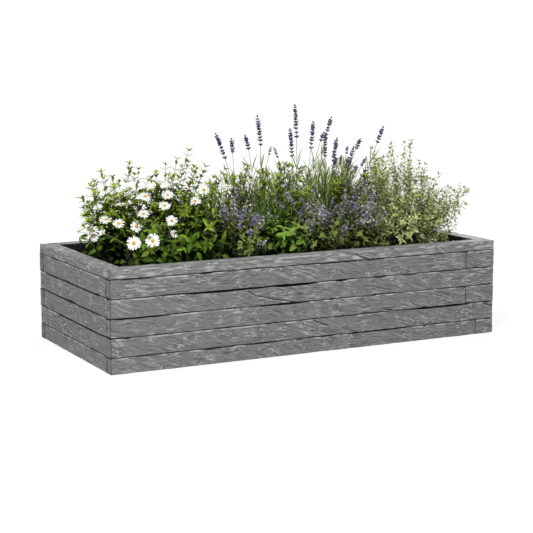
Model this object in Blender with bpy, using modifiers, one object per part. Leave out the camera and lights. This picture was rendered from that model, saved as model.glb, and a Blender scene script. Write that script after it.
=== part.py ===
"""Planted raised bed: a rectangular bed walled in riven slate bars, filled with compost and planted.

Frame: metres, +Z up, X along the length, front wall towards -Y. The origin is at the middle of the
bed's footprint, on the ground.

The walls are five courses of slate bars under a coping. They are backed by boards, tied by steel angles
in the corners and lined with a fleece bag that holds drainage gravel and compost. Thirteen plants stand
in the compost, each with its root ball, foliage and flowers in one solid.
"""

import math
from dataclasses import dataclass

import bmesh
import bpy
from mathutils import Matrix, Vector, noise

# ---- Driving dimensions, in metres ----
LENGTH = 1.750
WIDTH = 0.800
HEIGHT = 0.400

GAP = 0.0003  # between neighbouring pieces
EDGE = 0.0025  # eased edges of every slate bar

COPING_WIDTH = 0.064
COPING_HEIGHT = 0.039
BOTTOM_COURSE_HEIGHT = 0.064
COURSES = 5
BAR_DEPTH = 0.042
END_BLOCK = 0.144  # short block that ends a lapped course
BOTTOM_END_BLOCK = 0.088
BUTT_JOINT_AT = 0.623  # where the long bar of the third course is in two lengths

BOARD_DEPTH = 0.0155
ANGLE_LEG = 0.040
ANGLE_THICKNESS = 0.002
LINER_THICKNESS = 0.0015
LINER_CLEARANCE = 0.0004
LINER_FLOOR = 0.003

GRAVEL_TOP = 0.060
SOIL_EDGE = 0.335  # compost level along the walls
SOIL_CROWN = 0.344  # and over the middle of the bed
SOIL_SLOPE = 0.10  # width of the sloping margin

ROOT_DEPTH = 0.130
ROOT_RADIUS = 0.050
ROOT_TAPER = 0.092  # radius lost per metre of depth
ROOT_PROUD = 0.002  # root ball above the compost
ROOT_SIDES = 10
CROWN_RADIUS = 0.030
CROWN_DEPTH = 0.020
FOLIAGE_BOTTOM = 0.354
FOLIAGE_SQUARENESS = 0.75  # 1 is an ellipsoid, 0 a box
FOLIAGE_LUMPS = 0.16  # deepest hollow between lumps, as a share of the half size
LUMP_PITCH = 9.0  # lumps per metre from plant to plant
LUMP_TURNS = 2.1  # and round one plant
HEART_LEVEL = 0.55  # where the stems part, as a share of the foliage height

STEM_SIDES = 5
STEM_RADIUS = 0.0030
SHOOT_RADIUS = 0.0090
SHOOT_TIP_RADIUS = 0.0020
DAISY_RADIUS = 0.025
DAISY_THICKNESS = 0.006
DAISY_SIDES = 10
DAISY_FACING = (-0.25, -0.75, 0.60)  # heads look up and towards the front
SPIKE_RADIUS = 0.0085
SPRIG_RADIUS = 0.0100

# ---- Heights and depths that follow from them ----
COPING_BOTTOM = HEIGHT - COPING_HEIGHT
COURSE_HEIGHT = (COPING_BOTTOM - BOTTOM_COURSE_HEIGHT) / (COURSES - 1)
BOARD_OUTER = BAR_DEPTH + GAP
BOARD_INNER = BOARD_OUTER + BOARD_DEPTH
ANGLE_OUTER = BOARD_INNER + GAP
LINER_OUTER = ANGLE_OUTER + ANGLE_THICKNESS + LINER_CLEARANCE
FILL_OUTER = LINER_OUTER + LINER_THICKNESS + GAP

# Each wall is laid out in its own run: u along it from its left end as seen from outside, v inwards.
SIDES = {
    "front": (0.0, Vector((-LENGTH / 2, -WIDTH / 2, 0.0)), LENGTH),
    "right": (math.radians(90), Vector((LENGTH / 2, -WIDTH / 2, 0.0)), WIDTH),
    "back": (math.radians(180), Vector((LENGTH / 2, WIDTH / 2, 0.0)), LENGTH),
    "left": (math.radians(270), Vector((-LENGTH / 2, WIDTH / 2, 0.0)), WIDTH),
}
LONG_SIDES = ("front", "back")


@dataclass(frozen=True)
class Finish:
    """Plain finish of a kind of piece: colour (linear), roughness and metallic value."""

    name: str
    colour: tuple
    roughness: float
    metallic: float = 0.0


SLATE = Finish("riven_slate", (0.21, 0.22, 0.23), 0.75)
BOARD = Finish("treated_softwood_board", (0.20, 0.15, 0.09), 0.80)
STEEL = Finish("galvanised_steel", (0.55, 0.56, 0.57), 0.40, 1.0)
FLEECE = Finish("black_fleece", (0.010, 0.010, 0.010), 0.95)
GRAVEL = Finish("drainage_gravel", (0.25, 0.22, 0.19), 0.90)
COMPOST = Finish("compost", (0.022, 0.014, 0.009), 0.95)
DAISY = Finish("daisy_foliage", (0.09, 0.20, 0.03), 0.60)
LAVENDER = Finish("lavender_foliage", (0.17, 0.22, 0.13), 0.65)
CATMINT = Finish("catmint_foliage", (0.12, 0.13, 0.16), 0.65)
MINT = Finish("mint_foliage", (0.10, 0.26, 0.03), 0.55)
THYME = Finish("variegated_thyme_foliage", (0.33, 0.38, 0.19), 0.65)


def clear_scene():
    for old in list(bpy.data.objects):
        bpy.data.objects.remove(old, do_unlink=True)


def new_collection(name):
    collection = bpy.data.collections.new(name)
    bpy.context.scene.collection.children.link(collection)
    return collection


def material_for(node, finish):
    """A Principled material of the node's own."""
    material = bpy.data.materials.new(node + "_" + finish.name)
    material.use_nodes = True
    shader = material.node_tree.nodes["Principled BSDF"]
    shader.inputs["Base Color"].default_value = (*finish.colour, 1.0)
    shader.inputs["Roughness"].default_value = finish.roughness
    shader.inputs["Metallic"].default_value = finish.metallic
    return material


def add_object(name, bm, collection, finish=None):
    """Turns a bmesh into an object of the collection."""
    mesh = bpy.data.meshes.new(name)
    bm.to_mesh(mesh)
    bm.free()
    obj = bpy.data.objects.new(name, mesh)
    collection.objects.link(obj)
    if finish is not None:
        mesh.materials.append(material_for(name, finish))
    return obj


def add_helper(name, bm, helpers):
    """A cutter or a shape to be joined: it takes part in Booleans only."""
    obj = add_object(name, bm, helpers)
    obj.hide_render = True
    obj.display_type = "WIRE"
    return obj


def add_boolean(obj, other, operation):
    modifier = obj.modifiers.new(operation.lower(), "BOOLEAN")
    modifier.object = other
    modifier.operation = operation
    modifier.solver = "EXACT"
    modifier.use_self = True


def place_on_side(obj, side):
    """Stands an object that was laid out in a wall's own run on that wall."""
    angle, corner, _ = SIDES[side]
    obj.location = corner
    obj.rotation_euler = (0.0, 0.0, angle)


def box_mesh(low, high):
    """A box between two corners."""
    bm = bmesh.new()
    bmesh.ops.create_cube(bm, size=1.0)
    low, high = Vector(low), Vector(high)
    bmesh.ops.scale(bm, vec=high - low, verts=bm.verts)
    bmesh.ops.translate(bm, vec=(low + high) / 2, verts=bm.verts)
    return bm


# ---- Walls ----


def slate_bar(name, side, run, depth, heights, bed, mitred=False):
    """One slate bar, from run[0] to run[1] along its wall, with mitred or square ends."""
    start, end = run
    bm = box_mesh((start, 0.0, heights[0]), (end, depth, heights[1]))
    if mitred:
        for vert in bm.verts:
            towards_middle = math.copysign(1.0, (start + end) / 2 - vert.co.x)
            vert.co.x += towards_middle * (vert.co.y + GAP)
    obj = add_object(name, bm, bed, SLATE)
    place_on_side(obj, side)
    bevel = obj.modifiers.new("eased_edges", "BEVEL")
    bevel.width = EDGE
    bevel.segments = 1
    bevel.limit_method = "ANGLE"


def mitred_course(prefix, depth, heights, bed):
    """Four bars that meet in mitres at the corners."""
    for side, (_, _, length) in SIDES.items():
        slate_bar(f"{prefix}_{side}", side, (0.0, length), depth, heights, bed, mitred=True)


def lapped_course(prefix, heights, block, butt_joint, bed):
    """Long walls run corner to corner and end in a block; the short walls fit in between."""
    for side, (_, _, length) in SIDES.items():
        name = f"{prefix}_{side}"
        if side not in LONG_SIDES:
            run = (BAR_DEPTH + GAP, length - BAR_DEPTH - GAP)
            slate_bar(name, side, run, BAR_DEPTH, heights, bed)
            continue
        block_start = length - block
        if butt_joint:
            slate_bar(name + "_short", side, (0.0, butt_joint - GAP), BAR_DEPTH, heights, bed)
            slate_bar(name, side, (butt_joint, block_start - GAP), BAR_DEPTH, heights, bed)
        else:
            slate_bar(name, side, (0.0, block_start - GAP), BAR_DEPTH, heights, bed)
        slate_bar(name + "_end_block", side, (block_start, length), BAR_DEPTH, heights, bed)


def course_heights(number):
    """Bottom and top of a course, counted from 1 at the ground."""
    bottom = 0.0
    if number > 1:
        bottom = BOTTOM_COURSE_HEIGHT + (number - 2) * COURSE_HEIGHT + GAP
    return bottom, BOTTOM_COURSE_HEIGHT + (number - 1) * COURSE_HEIGHT


def walls(bed):
    for number in range(1, COURSES + 1):
        prefix = f"course_{number}"
        if number % 2 == 0:
            mitred_course(prefix, BAR_DEPTH, course_heights(number), bed)
            continue
        block = BOTTOM_END_BLOCK if number == 1 else END_BLOCK
        butt_joint = BUTT_JOINT_AT if number == 3 else None
        lapped_course(prefix, course_heights(number), block, butt_joint, bed)
    mitred_course("coping", COPING_WIDTH, (COPING_BOTTOM + GAP, HEIGHT), bed)


def backing_boards(bed):
    """Boards behind the bars: the long ones run through, the short ones fit between them."""
    for side, (_, _, length) in SIDES.items():
        end = BOARD_OUTER if side in LONG_SIDES else BOARD_INNER + GAP
        bm = box_mesh((end, BOARD_OUTER, GAP), (length - end, BOARD_INNER, COPING_BOTTOM - GAP))
        obj = add_object(f"backing_board_{side}", bm, bed, BOARD)
        place_on_side(obj, side)


def corner_angles(bed):
    """A steel angle in each corner of the boards, at the left end of each wall's run."""
    names = {"front": "front_left", "right": "front_right", "back": "back_right", "left": "back_left"}
    outline = (
        (0.0, 0.0),
        (ANGLE_LEG, 0.0),
        (ANGLE_LEG, ANGLE_THICKNESS),
        (ANGLE_THICKNESS, ANGLE_THICKNESS),
        (ANGLE_THICKNESS, ANGLE_LEG),
        (0.0, ANGLE_LEG),
    )
    height = COPING_BOTTOM - 2 * GAP
    for side, corner_name in names.items():
        curve = bpy.data.curves.new("corner_angle_" + corner_name, "CURVE")
        curve.dimensions = "2D"
        curve.fill_mode = "BOTH"
        curve.extrude = height / 2
        spline = curve.splines.new("POLY")
        spline.points.add(len(outline) - 1)
        for point, (x, y) in zip(spline.points, outline):
            point.co = (x, y, 0.0, 1.0)
        spline.use_cyclic_u = True
        obj = bpy.data.objects.new("corner_angle_" + corner_name, curve)
        bed.objects.link(obj)
        curve.materials.append(material_for(obj.name, STEEL))
        angle, corner, _ = SIDES[side]
        inward = Vector((ANGLE_OUTER, ANGLE_OUTER, GAP + height / 2))
        obj.location = corner + Matrix.Rotation(angle, 3, "Z") @ inward
        obj.rotation_euler = (0.0, 0.0, angle)


# ---- Filling ----


def liner(bed):
    """Fleece bag: an open box with a thin wall."""
    x, y = LENGTH / 2 - LINER_OUTER, WIDTH / 2 - LINER_OUTER
    bm = box_mesh((-x, -y, LINER_FLOOR), (x, y, COPING_BOTTOM - GAP))
    top = max(bm.faces, key=lambda face: face.calc_center_median().z)
    bmesh.ops.delete(bm, geom=[top], context="FACES_ONLY")
    obj = add_object("liner", bm, bed, FLEECE)
    wall = obj.modifiers.new("wall", "SOLIDIFY")
    wall.thickness = LINER_THICKNESS
    wall.offset = -1.0
    wall.use_even_offset = True


def gravel(bed):
    x, y = LENGTH / 2 - FILL_OUTER, WIDTH / 2 - FILL_OUTER
    bottom = LINER_FLOOR + LINER_THICKNESS + GAP
    add_object("drainage_gravel", box_mesh((-x, -y, bottom), (x, y, GRAVEL_TOP)), bed, GRAVEL)


def soil(plants, bed, helpers):
    """Compost with a gently crowned top, and a pocket for each root ball."""
    x, y = LENGTH / 2 - FILL_OUTER, WIDTH / 2 - FILL_OUTER
    bm = box_mesh((-x, -y, GRAVEL_TOP + GAP), (x, y, SOIL_EDGE))
    top = max(bm.faces, key=lambda face: face.calc_center_median().z)
    bmesh.ops.inset_region(bm, faces=[top], thickness=SOIL_SLOPE, depth=0.0)
    bmesh.ops.translate(bm, vec=(0.0, 0.0, SOIL_CROWN - SOIL_EDGE), verts=top.verts)
    obj = add_object("compost", bm, bed, COMPOST)
    cutter = bmesh.new()
    for plant in plants:
        root_ball(cutter, plant.root, FOLIAGE_BOTTOM, clearance=GAP)
    add_boolean(obj, add_helper("root_pockets", cutter, helpers), "DIFFERENCE")


# ---- Plants ----


@dataclass(frozen=True)
class Plant:
    """One plant: where its root ball stands, the plan its foliage fills, and what rises out of it.

    heads are flower heads on stems, spikes are (tip, length) pairs of flower spikes, and shoots are the
    tips of leafy shoots.
    """

    name: str
    finish: Finish
    root: tuple
    low: tuple
    high: tuple
    top: float
    heads: tuple = ()
    spikes: tuple = ()
    shoots: tuple = ()

    @property
    def heart(self):
        """A point well inside the foliage, which every stem starts from."""
        middle = [(a + b) / 2 for a, b in zip(self.low, self.high)]
        return Vector((*middle, FOLIAGE_BOTTOM + HEART_LEVEL * (self.top - FOLIAGE_BOTTOM)))


def root_ball(bm, root, top, clearance=0.0):
    """Tapered root ball up to the height top, with a clearance all round where it cuts its pocket."""
    bottom = SOIL_CROWN - ROOT_DEPTH - clearance
    radius_in_ground = ROOT_RADIUS + clearance / math.cos(math.pi / ROOT_SIDES)
    bmesh.ops.create_cone(
        bm,
        cap_ends=True,
        segments=ROOT_SIDES,
        radius1=radius_in_ground + ROOT_TAPER * (bottom - SOIL_CROWN),
        radius2=radius_in_ground + ROOT_TAPER * (top - SOIL_CROWN),
        depth=top - bottom,
        matrix=Matrix.Translation((*root, (top + bottom) / 2)),
    )


def limb(bm, start, end, radius_start, radius_end, sides=STEM_SIDES):
    """Tapered round bar from start to end."""
    along = end - start
    turn = along.to_track_quat("Z", "Y").to_matrix().to_4x4()
    bmesh.ops.create_cone(
        bm,
        cap_ends=True,
        segments=sides,
        radius1=radius_start,
        radius2=radius_end,
        depth=along.length,
        matrix=Matrix.Translation((start + end) / 2) @ turn,
    )


def foliage(plant):
    """The plant's bushy mass: a rounded block with lumps, which stays inside the plan low to high."""
    bm = bmesh.new()
    bmesh.ops.create_uvsphere(bm, u_segments=12, v_segments=7, radius=1.0)
    low = Vector((*plant.low, FOLIAGE_BOTTOM))
    high = Vector((*plant.high, plant.top))
    middle, half = (low + high) / 2, (high - low) / 2
    for vert in bm.verts:
        squared = Vector([math.copysign(abs(c) ** FOLIAGE_SQUARENESS, c) for c in vert.co])
        lump = abs(noise.noise(middle * LUMP_PITCH + vert.co * LUMP_TURNS))
        vert.co = middle + half * squared * (1.0 - FOLIAGE_LUMPS * lump)
    return bm


def daisy_head(bm, start, centre):
    """Flower head on its stem, facing up and towards the front."""
    facing = Vector(DAISY_FACING).normalized()
    limb(bm, start, centre, STEM_RADIUS, STEM_RADIUS * 0.7)
    half = facing * DAISY_THICKNESS / 2
    limb(bm, centre - half, centre + half, DAISY_RADIUS * 0.6, DAISY_RADIUS, DAISY_SIDES)


def flower_spike(bm, start, tip, length):
    """Slender spindle of flowers at the end of a bare stem."""
    along = (tip - start).normalized()
    base = tip - along * length
    limb(bm, start, base + along * length * 0.4, STEM_RADIUS, STEM_RADIUS * 0.6)
    turn = along.to_track_quat("Z", "Y").to_matrix().to_4x4()
    size = Matrix.Diagonal((SPIKE_RADIUS, SPIKE_RADIUS, length / 2, 1.0))
    place = Matrix.Translation((base + tip) / 2) @ turn @ size
    bmesh.ops.create_uvsphere(bm, u_segments=6, v_segments=5, radius=1.0, matrix=place)


def grow(plant, bed, helpers):
    """One plant: root ball and crown, foliage, and its heads, spikes and shoots, joined in one solid."""
    obj = add_object(plant.name, foliage(plant), bed, plant.finish)
    parts = bmesh.new()
    root_ball(parts, plant.root, SOIL_CROWN + ROOT_PROUD)
    heart = plant.heart
    foot = Vector((*plant.root, SOIL_CROWN - CROWN_DEPTH))
    limb(parts, foot, heart, CROWN_RADIUS, CROWN_RADIUS * 0.5, ROOT_SIDES)
    for head in plant.heads:
        daisy_head(parts, heart, Vector(head))
    for tip, length in plant.spikes:
        flower_spike(parts, heart, Vector(tip), length)
    for tip in plant.shoots:
        limb(parts, heart, Vector(tip), SHOOT_RADIUS, SHOOT_TIP_RADIUS)
    add_boolean(obj, add_helper(plant.name + "_stems", parts, helpers), "UNION")


PLANTS = (
    Plant(
        "daisy_plant_left",
        DAISY,
        (-0.640, 0.130),
        (-0.765, 0.010),
        (-0.555, 0.305),
        0.620,
        heads=(
            (-0.748, 0.090, 0.485),
            (-0.708, 0.045, 0.530),
            (-0.610, 0.150, 0.628),
            (-0.785, 0.150, 0.478),
        ),
        shoots=(
            (-0.770, 0.150, 0.590),
            (-0.700, 0.130, 0.712),
            (-0.630, 0.150, 0.690),
            (-0.585, 0.100, 0.740),
        ),
    ),
    Plant(
        "daisy_plant_front",
        DAISY,
        (-0.605, -0.170),
        (-0.735, -0.310),
        (-0.480, -0.005),
        0.540,
        heads=(
            (-0.722, -0.270, 0.474),
            (-0.643, -0.270, 0.478),
            (-0.690, -0.060, 0.530),
            (-0.647, -0.120, 0.535),
            (-0.587, -0.050, 0.566),
            (-0.522, -0.200, 0.510),
            (-0.500, -0.130, 0.545),
        ),
    ),
    Plant(
        "daisy_plant_back",
        DAISY,
        (-0.420, 0.170),
        (-0.545, 0.030),
        (-0.275, 0.305),
        0.630,
        heads=((-0.537, 0.050, 0.615), (-0.331, 0.080, 0.650)),
        shoots=((-0.460, 0.080, 0.750), (-0.340, 0.080, 0.785), (-0.245, 0.120, 0.710)),
    ),
    Plant(
        "daisy_plant_right",
        DAISY,
        (-0.370, -0.130),
        (-0.470, -0.310),
        (-0.275, 0.020),
        0.580,
        heads=(
            (-0.460, 0.000, 0.622),
            (-0.455, -0.060, 0.595),
            (-0.368, -0.060, 0.606),
            (-0.290, 0.000, 0.630),
            (-0.225, -0.060, 0.650),
        ),
        shoots=((-0.400, -0.050, 0.660), (-0.320, -0.080, 0.640)),
    ),
    Plant(
        "lavender_plant_left",
        LAVENDER,
        (-0.110, 0.150),
        (-0.262, 0.030),
        (0.015, 0.290),
        0.650,
        spikes=(
            ((-0.199, 0.100, 0.856), 0.120),
            ((-0.090, 0.170, 0.828), 0.080),
            ((-0.087, 0.050, 0.846), 0.070),
            ((0.009, 0.120, 0.924), 0.135),
        ),
    ),
    Plant(
        "lavender_plant_middle",
        LAVENDER,
        (0.140, 0.140),
        (0.025, 0.020),
        (0.258, 0.290),
        0.670,
        spikes=(
            ((0.050, 0.050, 0.780), 0.045),
            ((0.182, 0.150, 0.862), 0.135),
            ((0.126, 0.000, 0.974), 0.135),
            ((0.262, 0.090, 0.894), 0.125),
        ),
    ),
    Plant(
        "lavender_plant_right",
        LAVENDER,
        (0.370, 0.150),
        (0.268, 0.020),
        (0.490, 0.290),
        0.650,
        spikes=(
            ((0.328, 0.050, 0.914), 0.190),
            ((0.355, 0.160, 0.838), 0.060),
            ((0.335, 0.010, 0.825), 0.130),
            ((0.500, 0.200, 0.772), 0.045),
            ((0.506, 0.100, 0.810), 0.060),
            ((0.475, 0.020, 0.736), 0.060),
            ((0.592, 0.050, 0.864), 0.075),
        ),
    ),
    Plant(
        "catmint_plant_left",
        CATMINT,
        (-0.200, -0.160),
        (-0.265, -0.310),
        (-0.122, 0.010),
        0.560,
        shoots=((-0.235, -0.140, 0.610), (-0.185, -0.060, 0.640), (-0.150, -0.160, 0.600)),
    ),
    Plant(
        "mint_plant",
        MINT,
        (-0.045, -0.180),
        (-0.112, -0.310),
        (0.050, 0.010),
        0.490,
        shoots=((-0.080, -0.100, 0.560), (0.010, -0.070, 0.575)),
    ),
    Plant(
        "catmint_plant_middle",
        CATMINT,
        (0.155, -0.160),
        (0.060, -0.310),
        (0.258, 0.000),
        0.540,
        shoots=((0.090, -0.130, 0.590), (0.160, -0.080, 0.610), (0.230, -0.140, 0.585)),
    ),
    Plant(
        "catmint_plant_right",
        CATMINT,
        (0.350, -0.160),
        (0.268, -0.310),
        (0.440, 0.000),
        0.550,
        shoots=((0.300, -0.120, 0.610), (0.380, -0.080, 0.620), (0.420, -0.160, 0.600)),
    ),
    Plant(
        "thyme_plant_back",
        THYME,
        (0.600, 0.140),
        (0.500, 0.010),
        (0.740, 0.285),
        0.620,
        shoots=((0.560, 0.080, 0.740), (0.640, 0.120, 0.720), (0.700, 0.160, 0.660)),
    ),
    Plant(
        "thyme_plant_front",
        THYME,
        (0.590, -0.160),
        (0.450, -0.310),
        (0.745, -0.005),
        0.640,
        shoots=(
            (0.507, -0.150, 0.802),
            (0.607, -0.150, 0.820),
            (0.640, -0.220, 0.716),
            (0.690, -0.240, 0.676),
            (0.725, -0.265, 0.624),
            (0.812, -0.270, 0.620),
            (0.775, -0.270, 0.450),
        ),
    ),
)


def main():
    clear_scene()
    bed = new_collection("planted_raised_bed")
    helpers = new_collection("helpers")
    helpers.hide_render = True
    walls(bed)
    backing_boards(bed)
    corner_angles(bed)
    liner(bed)
    gravel(bed)
    soil(PLANTS, bed, helpers)
    for plant in PLANTS:
        grow(plant, bed, helpers)


main()
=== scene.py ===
"""Looks of the planted raised bed: riven slate bars, compost, and the plants leaf by leaf.

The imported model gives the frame. Every bar, the compost and every plant is dressed with a detailed piece
that takes the place of its plain solid. The liner, the boards, the corner angles and the gravel keep
their own solids and get a finish. All sizes are in metres.
"""

import functools
import logging
import math
from collections.abc import Iterable, Iterator, Sequence
from dataclasses import dataclass
from enum import Enum
from typing import ClassVar

import bmesh
import bpy
import numpy as np
from mathutils import Matrix, Vector, noise


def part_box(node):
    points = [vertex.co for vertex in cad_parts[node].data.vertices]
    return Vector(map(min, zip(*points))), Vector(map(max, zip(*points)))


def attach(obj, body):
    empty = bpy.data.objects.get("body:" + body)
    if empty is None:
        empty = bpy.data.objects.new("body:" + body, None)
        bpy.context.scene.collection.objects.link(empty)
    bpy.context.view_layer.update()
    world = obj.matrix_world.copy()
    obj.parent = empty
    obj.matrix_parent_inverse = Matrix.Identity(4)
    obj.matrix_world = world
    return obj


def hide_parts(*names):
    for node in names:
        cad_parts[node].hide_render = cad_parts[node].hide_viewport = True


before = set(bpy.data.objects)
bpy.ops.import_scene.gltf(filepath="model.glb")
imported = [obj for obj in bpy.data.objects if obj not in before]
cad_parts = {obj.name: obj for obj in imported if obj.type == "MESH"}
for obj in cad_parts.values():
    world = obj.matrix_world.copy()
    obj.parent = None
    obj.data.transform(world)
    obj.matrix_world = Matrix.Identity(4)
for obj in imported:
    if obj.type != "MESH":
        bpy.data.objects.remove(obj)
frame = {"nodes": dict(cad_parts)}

LOG = logging.getLogger("raised_bed")
MM = 0.001
UP = Vector((0.0, 0.0, 1.0))
# No leaf stands before a daisy head: towards the open side, from near to far, and as wide as its reach.
OPEN_SIDE = Vector((-0.46, -0.87, 0.17)).normalized()
HEAD_NEAR, HEAD_FAR, HEAD_REACH = -3 * MM, 160 * MM, 27 * MM
ROOT_BODY = "root"
SPAN = "span"  # point attribute: across the leaf, along it, and a tone of its own, which on leaves also sets painted shade
GRAIN = "grain"  # point attribute: along the bar, across it, and the chalky paling, painted highlight and painted shade of its edge
JOIN_DISTANCE = 0.02 * MM
TIMES = {"operation": "MULTIPLY"}
FLOWERS = 500  # added to a plant's seed for the chance of its flowers

Point = tuple[float, float, float]
Pair = tuple[float, float]
Socket = bpy.types.NodeSocket
Links = dict[str | int, Socket]
Shaped = tuple[Sequence[float], Point]  # a place and a span
Object = bpy.types.Object
NodeTree = bpy.types.NodeTree
Material = bpy.types.Material
BMesh = bmesh.types.BMesh
Settings = dict[str | int, object]


# ---------------- finishes


def linear(code: str) -> tuple[float, float, float, float]:
    """Turns an sRGB hex colour into the linear colour that a shader takes.

    Args:
        code: Colour as "#rrggbb".

    Returns:
        Red, green, blue and alpha, linear.
    """
    channels = [int(code[i : i + 2], 16) / 255 for i in (1, 3, 5)]
    values = [c / 12.92 if c <= 0.04045 else ((c + 0.055) / 1.055) ** 2.4 for c in channels]
    return (values[0], values[1], values[2], 1.0)


def add_node(
    tree: NodeTree,
    kind: str,
    settings: Settings | None = None,
    links: Links | None = None,
    output: str | int = 0,
) -> Socket:
    """Adds a shader node with its settings and its links.

    Args:
        tree: Takes the node.
        kind: The node's type name, without "ShaderNode".
        settings: Values by property or input name, or by input index.
        links: Output sockets by the name or index of the input that they feed.
        output: Name or index of the wanted output.

    Returns:
        That output.
    """
    node = tree.nodes.new("ShaderNode" + kind)
    for key, value in (settings or {}).items():
        if isinstance(key, str) and key in node.bl_rna.properties:
            setattr(node, key, value)
        else:
            node.inputs[key].default_value = value
    for key, socket in (links or {}).items():
        tree.links.new(socket, node.inputs[key])
    return node.outputs[output]


def smooth(start: float, end: float, at_start: float = 0.0, at_end: float = 1.0) -> Settings:
    """Describes a ramp that is level before start and after end, which may be the lower value."""
    return {"interpolation_type": "SMOOTHSTEP", 1: start, 2: end, 3: at_start, 4: at_end}


class Paint:
    """A material in the making: its nodes, and the colour that has been laid so far."""

    def __init__(self, name: str, colour: str, roughness: float, specular: float = 0.5) -> None:
        """Starts a material.

        Args:
            name: Common name of the real material.
            colour: Its first colour, as a hex code.
            roughness: How dull its gloss is.
            specular: How strong its gloss is. Pores, hairs and dust weaken it.
        """
        self.material = bpy.data.materials.new(name)
        self.material.use_nodes = True
        self.tree = self.material.node_tree
        self.add = functools.partial(add_node, self.tree)
        self.shader = self.tree.nodes["Principled BSDF"]
        self.shader.inputs["Roughness"].default_value = roughness
        self.shader.inputs["Specular IOR Level"].default_value = specular
        self.colour: str | Socket = colour

    def attribute(self, name: str) -> tuple[Socket, ...]:
        """Gives an attribute of the piece: the whole vector, then its three parts."""
        vector = self.add("Attribute", {"attribute_name": name}, output="Vector")
        return (vector, *self.add("SeparateXYZ", links={0: vector}).node.outputs)

    def coat(
        self,
        colour: str | Socket,
        share: Socket | float,
        span: Pair | None = None,
        amount: Pair = (0.0, 1.0),
        blend: str = "MIX",
    ) -> None:
        """Lays a coat over the colour so far.

        Args:
            colour: The coat's colour, a hex code or a socket.
            share: How much of it shows, or the value that this follows.
            span: Values between which it comes in. Without it the share is used as it is.
            amount: How much shows where the span starts and where it ends.
            blend: Blend type.
        """
        if span:
            share = self.add("MapRange", smooth(*span, *amount), {0: share})
        settings: Settings = {"data_type": "RGBA", "blend_type": blend}
        links: Links = {}
        for index, value in ((0, share), (6, self.colour), (7, colour)):
            if isinstance(value, Socket):
                links[index] = value
            else:
                settings[index] = linear(value) if isinstance(value, str) else value
        self.colour = self.add("Mix", settings, links, 2)

    def cells(self, place: Socket, size: Point) -> Socket:
        """Gives noise in long cells that lean.

        Args:
            place: The place.
            size: Length, width and slope of a cell.

        Returns:
            The noise's value, about 0.5 on average.
        """
        turned = self.add("Mapping", {"vector_type": "TEXTURE", "Rotation": (0.0, 0.0, size[2])}, {0: place})
        scale = (1 / size[0], 1 / size[1], 1.0)
        squeezed = self.add("VectorMath", {**TIMES, 1: scale}, {0: turned})
        return self.add("TexNoise", {"Scale": 1.0, "Detail": 4.0, "Roughness": 0.62}, {0: squeezed})

    def clouds(self, place: Socket, size: float, seed: float) -> Socket:
        """Gives soft round noise, about 0.5 on average. The seed picks one noise out of many."""
        settings = {"noise_dimensions": "4D", "Scale": 1 / size, "Detail": 2.0, "W": seed}
        return self.add("TexNoise", settings, {0: place})

    def band(self, first: tuple[Socket, Settings], second: tuple[Socket, Settings]) -> Socket:
        """Sends two values through a ramp each, and multiplies what comes out."""
        links = {i: self.add("MapRange", ramp, {0: value}) for i, (value, ramp) in enumerate((first, second))}
        return self.add("Math", TIMES, links)

    def finish(self, height: Socket | None = None, strength: float = 0.0, depth: float = 0.0) -> Material:
        """Links the colour and the relief to the shader.

        Args:
            height: Height of the relief.
            strength: How much of the relief shows.
            depth: What a height of 1 measures.

        Returns:
            The material.
        """
        self.tree.links.new(self.colour, self.shader.inputs["Base Color"])
        if height is not None:
            bump = self.add("Bump", {"Strength": strength, "Distance": depth}, {"Height": height})
            self.tree.links.new(bump, self.shader.inputs["Normal"])
        return self.material


@dataclass(frozen=True)
class Finish:
    """A finish of the bed. Its material is built once, when it is first asked for."""

    name: str

    @functools.cache
    def material(self) -> Material:
        """Gives the material."""
        return self.build()

    def build(self) -> Material:
        """Builds the material."""
        raise NotImplementedError


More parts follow.
